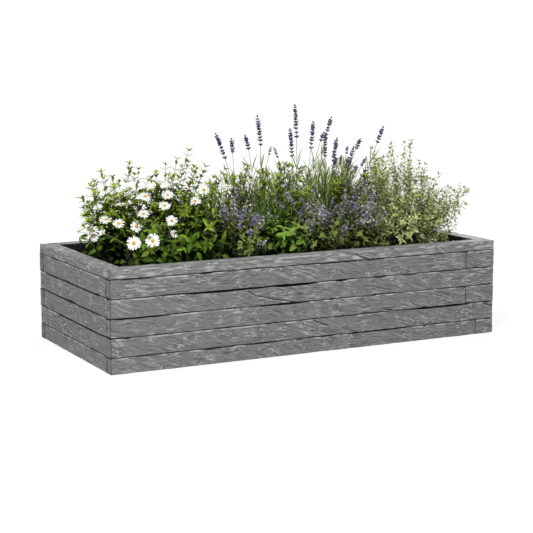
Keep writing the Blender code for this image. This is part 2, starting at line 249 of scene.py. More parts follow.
@dataclass(frozen=True)
class RivenSlate(Finish):
    """Split slate: satin grey, stepped where its layers break, with fine hatching, chalky edges partly painted as
    highlight, and painted shade at the foot of each step and in the joints.
    """

    name: str = "riven_slate"
    body: str = "#777877"
    # Dark of the hatching, also the painted shadow at the foot of each step.
    dark: str = "#454746"
    warm: str = "#797772"
    cool: str = "#737678"
    # Pale of the chalky streaks, also the painted highlight on lips and top edges.
    chalk_and_highlight: str = "#c3c5c3"
    # Painted shade in the joints, on the hidden faces and in the cracks.
    joint_shade: str = "#151514"
    # Length, width and slope of the broken layers and of the two ways of the hatching.
    layer: Point = (190 * MM, 34 * MM, math.radians(6))
    rising: Point = (60 * MM, 5 * MM, math.radians(8))
    falling: Point = (110 * MM, 6 * MM, math.radians(-13))
    layers: float = 8.0
    warp: float = 50 * MM
    warp_reach: float = 12 * MM
    cloud: float = 120 * MM
    # Slate glitters in grains under 1 mm, too fine to show, so its grit is drawn at 5 mm.
    grit: float = 5 * MM

    def build(self) -> Material:
        """Builds the material, which reads each bar's own grain and the chalky paling, painted highlight and painted
        shade of its edges.

        Returns:
            The material.
        """
        paint = Paint(self.name, self.cool, 0.62, 0.18)
        grain, _, _, edge = paint.attribute(GRAIN)
        flat = paint.add("VectorMath", {**TIMES, 1: (1.0, 1.0, 0.0)}, {0: grain})
        warp = paint.add("TexNoise", {"Scale": 1 / self.warp, "Detail": 2.0}, {0: flat}, "Color")
        shift = {"operation": "MULTIPLY_ADD", 1: (self.warp_reach, self.warp_reach, 0.0)}
        flat = paint.add("VectorMath", shift, {0: warp, 2: flat})
        # Broken layers: a slow height cut in steps, pale along each step's lip, part chalky and part painted
        # highlight, and a painted shadow at its foot.
        slow = paint.cells(flat, self.layer)
        level = paint.add("Math", {**TIMES, 1: self.layers}, {0: slow})
        whole = paint.add("Math", {"operation": "FLOOR"}, {0: level})
        part = paint.add("Math", {"operation": "FRACT"}, {0: level})
        rise = paint.add("MapRange", smooth(0.40, 0.60), {0: part})
        stairs = paint.add("Math", {"operation": "ADD"}, {0: whole, 1: rise})
        lip = paint.band((part, smooth(0.44, 0.58)), (part, smooth(0.80, 0.60)))
        foot = paint.band((part, smooth(0.10, 0.36)), (part, smooth(0.52, 0.44)))
        # Fine hatching of the splitting, which rises in some patches and falls in others.
        rising = paint.cells(flat, self.rising)
        falling = paint.cells(flat, self.falling)
        turn = paint.add("MapRange", smooth(0.44, 0.56), {0: paint.clouds(flat, 2.0 * self.cloud, 5.0)})
        marks = paint.add("Mix", {}, {0: turn, 2: rising, 3: falling})
        speckle = paint.add("TexNoise", {"Scale": 1 / self.grit, "Detail": 3.0, "Roughness": 0.75}, {0: flat})
        strong = paint.clouds(flat, 0.6 * self.cloud, 9.0)
        paint.coat(self.warm, paint.clouds(flat, self.cloud, 3.0), (0.40, 0.60))
        tint, paint.colour = paint.colour, self.body
        paint.coat(tint, 0.45)
        paint.coat(self.dark, marks, (0.49, 0.34), (0.0, 0.8))
        bright = paint.band((marks, smooth(0.52, 0.70, 0.0, 0.8)), (strong, smooth(0.36, 0.62, 0.25, 1.0)))
        paint.coat(self.chalk_and_highlight, bright)
        # The painted shadow at each step's foot, and the pale lip that is partly painted highlight, in patches.
        for line, tone in ((foot, self.dark), (lip, self.chalk_and_highlight)):
            patchy = paint.add("MapRange", smooth(0.42, 0.60, 0.055, 0.55), {0: strong})
            paint.coat(tone, paint.add("Math", TIMES, {0: line, 1: patchy}))
        grit = paint.add("MapRange", smooth(0.25, 0.75, 0.70, 1.30), {0: speckle})
        paint.coat(paint.add("CombineColor", links={0: grit, 1: grit, 2: grit}), 1.0, blend="MULTIPLY")
        # Below 0 the edge is pale, part chalky and part painted highlight; above 0 it gets painted shade, for the
        # joint.
        paint.coat(self.chalk_and_highlight, edge, (-0.1, -0.8), (0.0, 0.75))
        paint.coat(self.joint_shade, edge, (0.25, 0.8), (0.0, 0.97))
        relief = paint.add("Math", {"operation": "MULTIPLY_ADD", 1: 2.0}, {0: marks, 2: stairs})
        relief = paint.add("Math", {"operation": "MULTIPLY_ADD", 1: 0.4}, {0: speckle, 2: relief})
        return paint.finish(relief, 1.0, 1.8 * MM)


@dataclass(frozen=True)
class Leaf(Finish):
    """Living leaf: a waxy skin over green tissue, with a pale midrib and a rim of its own colour.

    Its tone runs from painted shade, for the dark inside of the plant, at 0, to young growth, at 1.
    """

    body: str
    young: str
    shade: str
    rim: str
    midrib: str
    rim_from: float = 0.75
    shade_share: float = 0.5
    depth_share: float = 0.92
    roughness: float = 0.48
    # The shade low in the plant reaches from the compost to a hand's breadth above the coping.
    shade_span: Pair = (0.50, 0.34)
    # Side veins stand about 1 mm apart, too fine to show, so the leaf is mottled at 9 mm.
    mottle: float = 9 * MM

    def build(self) -> Material:
        """Builds the material, which reads each leaf's span and tone, with painted shade deep in the plant and low in
        it.

        Returns:
            The material.
        """
        paint = Paint(self.name, self.body, self.roughness, 0.06)
        _, across, along, tone = paint.attribute(SPAN)
        place = paint.add("TexCoord", output="Object")
        height = paint.add("SeparateXYZ", links={0: place}, output=2)
        off_rib = paint.add("Math", {"operation": "ABSOLUTE"}, {0: across})
        mottle = paint.add("TexNoise", {"Scale": 1 / self.mottle, "Detail": 2.0}, {0: place})
        paint.coat(self.young, tone, (0.45, 1.0))
        paint.coat(self.young, mottle, (0.35, 0.70), (0.0, 0.30))
        paint.coat(self.rim, off_rib, (self.rim_from, 1.0), (0.0, 0.85))
        paint.coat(self.midrib, off_rib, (0.16, 0.0), (0.0, 0.55))
        paint.coat(self.young, along, (0.7, 1.0), (0.0, 0.25))
        # Painted shade deep inside the plant, by tone, then low in it, by height.
        paint.coat(self.shade, tone, (0.40, 0.0), (0.0, self.depth_share))
        paint.coat(self.shade, height, self.shade_span, (0.0, self.shade_share))
        return paint.finish(mottle, 0.35, 0.5 * MM)


@dataclass(frozen=True)
class Stalk(Finish):
    """Plant stem: ribbed green skin, woodier and browner near the ground."""

    body: str
    woody: str
    woody_height: float = 0.42
    woody_fade: float = 0.06
    pale: str = "#c9cfa6"
    # Ribs of a stem are under 1 mm wide, too fine to show, so they are drawn as 4 mm patches.
    rib: float = 4 * MM

    def build(self) -> Material:
        """Builds the material, which goes woody low down.

        Returns:
            The material.
        """
        paint = Paint(self.name, self.body, 0.6, 0.15)
        tone = paint.attribute(SPAN)[-1]
        place = paint.add("TexCoord", output="Object")
        height = paint.add("SeparateXYZ", links={0: place}, output=2)
        rough = paint.add("TexNoise", {"Scale": 1 / self.rib, "Detail": 2.0}, {0: place})
        paint.coat(self.woody, height, (self.woody_height, self.woody_height - self.woody_fade))
        paint.coat(self.woody, rough, (0.3, 0.8), (0.0, 0.4))
        paint.coat(self.pale, tone, (0.0, 1.0), (0.0, 0.25))
        return paint.finish()


@dataclass(frozen=True)
class Petal(Finish):
    """Flower petal: a matt, velvety skin, deeper in colour at its throat."""

    body: str
    other: str
    throat: str
    throat_share: float = 0.3
    roughness: float = 0.6
    ribs: float = 9.0  # ridges of the petal, in radians from the middle to the rim

    def build(self) -> Material:
        """Builds the material, which reads each petal's span and tone.

        Returns:
            The material.
        """
        paint = Paint(self.name, self.body, self.roughness)
        _, across, along, tone = paint.attribute(SPAN)
        turn = paint.add("Math", {**TIMES, 1: self.ribs}, {0: across})
        ribs = paint.add("Math", {"operation": "SINE"}, {0: turn})
        paint.coat(self.other, tone)
        paint.coat(self.other, ribs, (0.2, 1.0), (0.0, 0.35))
        paint.coat(self.throat, along, (self.throat_share, 0.0))
        paint.shader.inputs["Sheen Weight"].default_value = 0.15
        return paint.finish(ribs, 0.3, 0.4 * MM)


@dataclass(frozen=True)
class Eye(Finish):
    """Daisy eye: packed disc florets, golden outside and burnt orange at the middle."""

    name: str = "disc_florets"
    outer: str = "#e0ab3c"
    middle: str = "#b8691c"
    floret: float = 1.1 * MM

    def build(self) -> Material:
        """Builds the material from the distance to the eye's middle, which the span holds.

        Returns:
            The material.
        """
        paint = Paint(self.name, self.middle, 0.7)
        _, _, along, tone = paint.attribute(SPAN)
        place = paint.add("TexCoord", output="Object")
        cells = paint.add("TexVoronoi", {"Scale": 1 / self.floret}, {0: place}, "Distance")
        reach = paint.add("Math", {"operation": "MULTIPLY_ADD", 1: -0.45, 2: 1.0}, {0: tone})
        share = paint.add("Math", {"operation": "DIVIDE"}, {0: along, 1: reach})
        paint.coat(self.outer, share, (0.10, 0.55))
        paint.coat(self.middle, cells, (0.3, 0.8), (0.0, 0.5))
        return paint.finish(cells, 0.8, 0.6 * MM)


@dataclass(frozen=True)
class Ground(Finish):
    """Crumbly or fibrous matter in bulk: two tones in grains, with painted shade in the gaps between them and darker
    patches.
    """

    body: str
    other: str
    # Painted shade in the gaps between grains; the same colour also darkens patches.
    dark_patch_and_gap_shade: str
    grain: float
    relief: float = 2 * MM
    specular: float = 0.04

    def build(self) -> Material:
        """Builds the material from grains on the object's own coordinates.

        Returns:
            The material.
        """
        paint = Paint(self.name, self.body, 0.95, self.specular)
        place = paint.add("TexCoord", output="Object")
        cells = paint.add("TexVoronoi", {"Scale": 1 / self.grain}, {0: place}, "Distance")
        cloud = paint.add("TexNoise", {"Scale": 0.2 / self.grain, "Detail": 4.0}, {0: place})
        paint.coat(self.other, paint.add("SeparateColor", links={0: cells.node.outputs["Color"]}))
        # Painted shade in the gaps between grains, then darker patches.
        paint.coat(self.dark_patch_and_gap_shade, cells, (0.35, 0.75))
        paint.coat(self.dark_patch_and_gap_shade, cloud, (0.45, 0.65), (0.0, 0.4))
        return paint.finish(cells, 0.8, self.relief)


@dataclass(frozen=True)
class SawnBoard(Finish):
    """Treated softwood, sawn: long straw-brown grain with a green cast from the treatment."""

    name: str = "treated_softwood"
    early: str = "#9c8a63"
    late: str = "#6f5f3f"
    ring: float = 6 * MM
    stretch: float = 0.06

    def build(self) -> Material:
        """Builds the material with grain along the length of the bed.

        Returns:
            The material.
        """
        paint = Paint(self.name, self.early, 0.8)
        place = paint.add("TexCoord", output="Object")
        squeezed = paint.add("Mapping", {"Scale": (self.stretch, self.stretch, 1.0)}, {0: place})
        grain = paint.add("TexNoise", {"Scale": 1 / self.ring, "Detail": 4.0, "Distortion": 0.6}, {0: squeezed})
        paint.coat(self.late, grain, (0.35, 0.65))
        return paint.finish(grain, 0.4, 0.5 * MM)


@dataclass(frozen=True)
class GalvanisedSteel(Finish):
    """Hot-dipped steel: bright zinc with flat crystals of slightly different greys."""

    name: str = "galvanised_steel"
    bright: str = "#c4c7c9"
    dull: str = "#9a9ea1"
    spangle: float = 9 * MM

    def build(self) -> Material:
        """Builds the material from crystal cells.

        Returns:
            The material.
        """
        paint = Paint(self.name, self.bright, 0.5)
        place = paint.add("TexCoord", output="Object")
        cells = paint.add("TexVoronoi", {"Scale": 1 / self.spangle}, {0: place}, "Color")
        pick = paint.add("SeparateColor", links={0: cells})
        paint.coat(self.dull, pick)
        gloss = paint.add("MapRange", smooth(0.0, 1.0, 0.3, 0.5), {0: pick})
        paint.tree.links.new(gloss, paint.shader.inputs["Roughness"])
        paint.shader.inputs["Metallic"].default_value = 1.0
        return paint.finish()


class Finishes:
    """Every finish of the bed."""

    slate = RivenSlate()
    board = SawnBoard()
    steel = GalvanisedSteel()
    # Polypropylene fibres, needled to felt: dull and black. A fibre is finer than a hair, so the
    # felt is drawn in 2 mm tufts.
    fleece = Ground("needled_fleece", "#151413", "#1e1c1a", "#080808", 2 * MM, 0.4 * MM)
    # River gravel, washed: rounded grey-brown stones with a slight shine, and painted shade in the gaps.
    gravel = Ground("washed_gravel", "#8d867c", "#6d675f", "#2c2925", 12 * MM, 4 * MM, 0.4)
    # Sieved compost: damp crumbs that take all gloss, painted nearly black, part their own dark brown and part
    # painted shade under the plants. Bark crumbs lie on it, browner.
    compost = Ground("peat_free_compost", "#1c1610", "#120e0a", "#070504", 5 * MM)
    bark = Ground("bark_crumbs", "#2a1f15", "#19120c", "#0c0806", 4 * MM)
    # Leaves, from body and young growth to shade, rim and midrib. The low ones of the daisies are deep
    # green, mint is fresh, lavender and catmint are greyed by hairs, and thyme has a cream rim.
    daisy_leaf = Leaf(
        "daisy_leaf", "#415c10", "#93aa3a", "#0c1604", "#58751f", "#7d943b", shade_share=0.65
    )
    young_leaf = Leaf("young_daisy_leaf", "#576d18", "#99ad42", "#1d2a09", "#6d8622", "#8fa144")
    broad_leaf = Leaf(
        "broad_leaf", "#39550f", "#6e8a2c", "#0a1504", "#48691c", "#769243", shade_share=0.72
    )
    mint_leaf = Leaf(
        "mint_leaf", "#456a1e", "#7b993e", "#0f2007", "#587b2a", "#7f9c50", shade_share=0.2, depth_share=0.7
    )
    lavender_leaf = Leaf("lavender_leaf", "#6c8434", "#b2bf7a", "#26380f", "#8c9f5c", "#a9b880")
    catmint_leaf = Leaf(
        "catmint_leaf", "#4a5c28", "#86944f", "#0f1a06", "#5f7136", "#7c8b4e", shade_share=0.3
    )
    thyme_leaf = Leaf(
        "variegated_thyme_leaf", "#869440", "#c8d08c", "#101a07", "#eef0c4", "#a8b364", rim_from=0.42,
        shade_share=0.25, depth_share=1.0,
    )
    # Stems: matt green skin that goes woody and brown at the foot, soonest on the straw-pale thyme, whose foot is
    # painted near black, part bark and part painted shade.
    green_stem = Stalk("green_stem", "#687c2c", "#4b4a28")
    lavender_stem = Stalk("lavender_stem", "#6c7a4c", "#5f5b38")
    thyme_stem = Stalk("thyme_stem", "#a8ad6c", "#332e1c", woody_height=0.46)
    # Petals, from body and lighter or darker tone to throat. Buds, husks and calyxes are downy and dull.
    daisy_petal = Petal("daisy_petal", "#f7f7f3", "#d9dcd5", "#d5d9b8", 0.15)
    daisy_eye = Eye()
    lavender_bud = Petal("lavender_bud", "#2c264c", "#454072", "#4c4a50", roughness=0.75)
    lavender_husk = Petal("lavender_husk", "#454a46", "#6d7178", "#5a6048", roughness=0.75)
    lavender_flower = Petal("lavender_flower", "#51498c", "#6a63a4", "#342c60")
    catmint_flower = Petal("catmint_flower", "#5f54a0", "#9186bc", "#3e3274")
    catmint_pale = Petal("catmint_pale_flower", "#a396ae", "#ddd4dc", "#746782")
    catmint_calyx = Petal("catmint_calyx", "#5d5470", "#7b7480", "#5a6440", 0.4, 0.75)
    yellow_petal = Petal("yellow_petal", "#e8d33c", "#f0e36c", "#c49b1c")


# ---------------- repeated shapes


class Stencil:
    """A small shape that is repeated many times: its points, triangles, spans and finish."""

    def __init__(self, form: "Form", finish: Finish) -> None:
        """Makes a form's primitive and moves each of its points.

        Args:
            form: The form.
            finish: Finish of its faces.
        """
        bm = bmesh.new()
        layer = bm.verts.layers.float_vector.new(SPAN)
        form.primitive(bm)
        for vert in bm.verts:
            vert.co, vert[layer] = form.shape(vert.co.copy())
        bmesh.ops.remove_doubles(bm, verts=bm.verts, dist=JOIN_DISTANCE)
        bmesh.ops.triangulate(bm, faces=bm.faces)
        self.points = np.array([vert.co[:] for vert in bm.verts])
        self.spans = np.array([vert[layer][:] for vert in bm.verts])
        self.faces = np.array([[vert.index for vert in face.verts] for face in bm.faces])
        self.finish = finish
        bm.free()


class Form:
    """A form that a stencil can take. Each kind makes a primitive and says how its points move."""

    def primitive(self, bm: BMesh) -> None:
        """Adds the primitive to a bmesh."""
        raise NotImplementedError

    def shape(self, at: Vector) -> Shaped:
        """Gives the place and the span of a point of the primitive."""
        return at, (0.0, 0.0, 0.0)

    def stencil(self, finish: Finish) -> Stencil:
        """Models the form in a finish."""
        return Stencil(self, finish)


@dataclass(frozen=True)
class Blade(Form):
    """A leaf or lip that lies along +Y with its upper side to +Z.

    fullest is where along its length it is widest, point is how drawn out its tip is, droop how far it
    bends down over its length, in radians, fold how far its halves rise from the midrib, and stalk the
    bare length before it.
    """

    length: float
    width: float
    rows: int
    fullest: float
    point: float
    droop: float
    fold: float
    stalk: float = 0.0

    def primitive(self, bm: BMesh) -> None:
        """Makes a small grid."""
        bmesh.ops.create_grid(bm, x_segments=2, y_segments=self.rows, size=0.5)

    def shape(self, at: Vector) -> Shaped:
        """Bends a point of the grid to the blade.

        Args:
            at: The point.

        Returns:
            Its place and its span.
        """
        across, along = at.x * 2, min(1.0, max(0.0, at.y + 0.5))
        power = math.log(0.5) / math.log(self.fullest)
        half = self.width / 2 * max(0.0, math.sin(math.pi * along**power)) ** self.point
        bend = self.droop * along
        reach = self.length * math.sin(bend) / self.droop
        fall = self.length * (math.cos(bend) - 1) / self.droop
        side = Vector((across * half, 0.0, self.fold * abs(across) * half))
        return side + Vector((0.0, self.stalk + reach, fall)), (across, along, 0.0)


@dataclass(frozen=True)
class Strap(Form):
    """A daisy's strap-shaped petal with a notched tip: its length from the eye, its width and its bend."""

    length: float
    width: float
    droop: float

    def primitive(self, bm: BMesh) -> None:
        """Makes a small grid."""
        bmesh.ops.create_grid(bm, x_segments=2, y_segments=4, size=0.5)

    def shape(self, at: Vector) -> Shaped:
        """Bends a point of the grid to the petal.

        Args:
            at: The point.

        Returns:
            Its place and its span.
        """
        across, along = at.x * 2, at.y + 0.5
        half = self.width / 2 * math.sqrt(max(0.05, 1 - ((along - 0.60) / 0.62) ** 2))
        notch = 0.05 * self.length * (1 - abs(across)) * (along > 0.9)
        bend = self.droop * along
        reach = self.length * along * math.cos(bend / 2) - notch
        fall = -self.length * along * math.sin(bend / 2) - 0.22 * abs(across) * half
        return (across * half, reach, fall), (across, along, 0.0)


@dataclass(frozen=True)
class Bead(Form):
    """A bud: a small spindle along +Y, fuller towards its base, with so many sides and bands."""

    length: float
    width: float
    sides: int = 5
    bands: int = 4

    def primitive(self, bm: BMesh) -> None:
        """Makes a sphere."""
        bmesh.ops.create_uvsphere(bm, u_segments=self.sides, v_segments=self.bands, radius=0.5)

    def shape(self, at: Vector) -> Shaped:
        """Stretches a point of the sphere to the bud, and gives its span."""
        wide = self.width * (1.15 - 0.4 * (at.z + 0.5))
        return (at.x * wide, (at.z + 0.5) * self.length, at.y * wide), (2 * at.x, at.z + 0.5, 0.0)


class Rod(Form):
    """A length of stem: radius 1 at its foot, along +Y from 0 to 1, open at both ends."""

    def primitive(self, bm: BMesh) -> None:
        """Makes an upright cone."""
        bmesh.ops.create_cone(bm, cap_ends=False, segments=4, radius1=1.0, radius2=0.9, depth=1.0)

    def shape(self, at: Vector) -> Shaped:
        """Lays a point of the cone along +Y, and gives its span."""
        return (at.x, at.z + 0.5, -at.y), (at.x, at.z + 0.5, 0.0)


@dataclass(frozen=True)
class Cup(Form):
    """The green cup under a flower head: its radius, and its height from the foot to the mouth at +Z."""

    radius: float
    height: float

    def primitive(self, bm: BMesh) -> None:
        """Makes a sphere."""
        bmesh.ops.create_uvsphere(bm, u_segments=10, v_segments=6, radius=1.0)

    def shape(self, at: Vector) -> Shaped:
        """Stretches a point of the sphere to the cup, flat above its mouth, and gives its span."""
        height = self.height * (0.25 if at.z > 0 else 1.0)
        return (at.x * self.radius, at.y * self.radius, at.z * height), (at.x, 0.5, 0.0)


@dataclass(frozen=True)
class DomedEye(Cup):
    """A daisy's eye: a low dome of florets in rings, with a dimple at its middle."""

    def primitive(self, bm: BMesh) -> None:
        """Makes a fine sphere."""
        bmesh.ops.create_uvsphere(bm, u_segments=14, v_segments=10, radius=1.0)

    def shape(self, at: Vector) -> Shaped:
        """Stretches a point of the sphere to the eye.

        Args:
            at: The point.

        Returns:
            Its place and its span.
        """
        out = math.hypot(at.x, at.y)
        pebble = 1.0 + 0.10 * noise.noise(at * 5.0)
        dome = max(at.z, -0.2) * self.height * pebble - self.height * 0.35 * max(0.0, 1 - out * 2.5)
        return (at.x * self.radius * pebble, at.y * self.radius * pebble, dome), (0.0, out, 0.0)


def pose_along(origin: Vector, along: Vector, facing: Vector, scale: float | Point = 1.0) -> Matrix:
    """Places a stencil.

    Args:
        origin: Where its base goes.
        along: Where its +Y points.
        facing: Roughly where its +Z points.
        scale: One scale, or one for each of X, Y and Z.

    Returns:
        The placement.
    """
    y = along.normalized()
    x = y.cross(facing)
    if x.length < 1e-6:
        x = y.orthogonal()
    x.normalize()
    axes = (x, y, x.cross(y))
    scales = (scale,) * 3 if isinstance(scale, (int, float)) else scale
    rows = [(*(axis[i] * size for axis, size in zip(axes, scales)), origin[i]) for i in range(3)]
    return Matrix((*rows, (0.0, 0.0, 0.0, 1.0)))


class Cluster:
    """Gathers placed stencils and joins them in one piece."""

    def __init__(self) -> None:
        """Starts empty."""
        self.placed: dict[Stencil, list[tuple[Matrix, float]]] = {}

    def add(self, stencil: Stencil, pose: Matrix, tone: float = 0.0) -> None:
        """Adds one copy with a tone of its own, 0 to 1."""
        self.placed.setdefault(stencil, []).append((pose, tone))

    def build(self, name: str) -> Object:
        """Joins all copies in one mesh, shaded smooth.

        Args:
            name: Name of the piece.

        Returns:
            The piece's object, at the origin.
        """
        points, spans, faces, slots = [], [], [], []
        finishes = list(dict.fromkeys(stencil.finish for stencil in self.placed))
        start = 0
        for stencil, copies in self.placed.items():
            poses = np.array([np.array(pose) for pose, _ in copies])
            moved = np.einsum("nij,pj->npi", poses[:, :3, :3], stencil.points) + poses[:, None, :3, 3]
            span = np.repeat(stencil.spans[None], len(copies), axis=0)
            span[:, :, 2] = np.array([tone for _, tone in copies])[:, None]
            shift = start + np.arange(len(copies)) * len(stencil.points)
            faces.append((stencil.faces[None] + shift[:, None, None]).reshape(-1, 3))
            slots.append(np.full(len(faces[-1]), finishes.index(stencil.finish), np.int32))
            points.append(moved.reshape(-1, 3))
            spans.append(span.reshape(-1, 3))
            start += len(points[-1])
        mesh = bpy.data.meshes.new(name)
        corners = np.concatenate(faces).astype(np.int32)
        mesh.vertices.add(start)
        mesh.loops.add(corners.size)
        mesh.polygons.add(len(corners))
        span_attribute = mesh.attributes.new(SPAN, "FLOAT_VECTOR", "POINT")
        for items, key, values in (
            (mesh.vertices, "co", np.concatenate(points).astype(np.float32)),
            (mesh.loops, "vertex_index", corners),
            (mesh.polygons, "loop_start", np.arange(0, corners.size, 3, dtype=np.int32)),
            (mesh.polygons, "material_index", np.concatenate(slots)),
            (mesh.polygons, "use_smooth", np.full(len(corners), True)),
            (span_attribute.data, "vector", np.concatenate(spans).astype(np.float32)),
        ):
            items.foreach_set(key, values.ravel())
        mesh.update(calc_edges=True)
        return placed_object(name, mesh, finishes)


def placed_object(
    name: str, data: bpy.types.Mesh | bpy.types.Light | bpy.types.Camera, finishes: Iterable[Finish] = ()
) -> Object:
    """Puts an object in the scene.

    Args:
        name: Its name.
        data: Its mesh, lamp or camera.
        finishes: Finishes of a mesh.

    Returns:
        The object, at the origin.
    """
    for finish in finishes:
        data.materials.append(finish.material())
    thing = bpy.data.objects.new(name, data)
    bpy.context.scene.collection.objects.link(thing)
    return thing


def settle(piece: Object, slot: str, *nodes: str) -> None:
    """Fixes a finished piece to the bed, hides the solids that it stands for, and reports it.

    Args:
        piece: The finished piece.
        slot: Its material slot. Not used.
        *nodes: Names of the solids that it takes the place of.
    """
    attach(piece, ROOT_BODY)
    if nodes:
        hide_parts(*nodes)
    triangles = sum(len(face.vertices) - 2 for face in piece.data.polygons)
    LOG.info("%s: %d triangles", piece.name, triangles)


# ---------------- slate wall


class Ending(Enum):
    """How a bar ends at the corners of the bed."""

    SQUARE = "square"
    MITRED = "mitred"


class Side(Enum):
    """A wall of the bed, with the turn about Z that brings the front wall's frame to it, in quarter turns."""

    FRONT = 0
    RIGHT = 1
    BACK = 2
    LEFT = 3

    def frame(self) -> Matrix:
        """Gives the wall's own frame: X along the wall seen from outside, Y inwards, Z up."""
        return Matrix.Rotation(self.value * math.pi / 2, 3, "Z")


@dataclass(frozen=True)
class Cleft:
    """A single break across a bar's face, through points in run and height of the wall."""

    points: tuple[Pair, ...]
    depth: float = 4.0 * MM
    width: float = 4.2 * MM
    # Painted shade in the crack, 0 to 1; below 0 a pale painted highlight instead.
    crack_painted_light: float = 0.85
    reach: float = 9 * MM  # how far from its line the faces are cut

    def cut(self, bm: BMesh, grain: bmesh.types.BMLayerItem) -> None:
        """Cuts the break in the face of a bar that stands in its wall's frame.

        Args:
            bm: The bar.
            grain: Its grain, whose last number gives the edge its chalky paling, painted highlight and painted shade.
        """
        for start, end in zip(self.points, self.points[1:]):
            origin = Vector((start[0], 0.0, start[1]))
            line = Vector((end[0], 0.0, end[1])) - origin
            across = Vector((-line.z, 0.0, line.x)).normalized()
            # Cuts beside the line and close along it: a pale chalky lip on one side that is partly painted highlight,
            # and painted shade in the crack.
            for side, edge_chalk_and_painted_light in ((-1.1, -0.55), (0.9, 0.0), (-0.22, self.crack_painted_light), (0.22, self.crack_painted_light)):
                front = [face for face in bm.faces if face.normal.y <= -0.5]
                near = [face for face in front if self.is_near(face.calc_center_median() - origin, line)]
                parts = set(near)
                parts.update(edge for face in near for edge in face.edges)
                parts.update(vert for face in near for vert in face.verts)
                made = bmesh.ops.bisect_plane(
                    bm, geom=list(parts), dist=JOIN_DISTANCE, plane_no=across,
                    plane_co=origin + across * side * self.width,
                )["geom_cut"]
                for vert in (item for item in made if isinstance(item, bmesh.types.BMVert)):
                    share = (vert.co - origin).dot(line) / line.length_squared
                    fade = min(1.0, max(0.0, 6 * (share + 0.1)), max(0.0, 6 * (1.1 - share)))
                    vert.co.y += self.depth * fade * (abs(side) < 0.5)
                    vert[grain] = (*vert[grain][:2], edge_chalk_and_painted_light * fade)

    def is_near(self, off: Vector, line: Vector) -> bool:
        """Tells whether a point, given from the start of a line of the break, lies close to that line."""
        off = off - line * min(1.0, max(0.0, off.dot(line) / line.length_squared))
        return math.hypot(off.x, off.z) < self.reach


@dataclass(frozen=True)
class RingPoint:
    """A point of a bar's section: inwards v, upwards z, its outward direction, and its place round the ring."""

    v: float
    z: float
    out_v: float
    out_z: float
    unrolled: float = 0.0


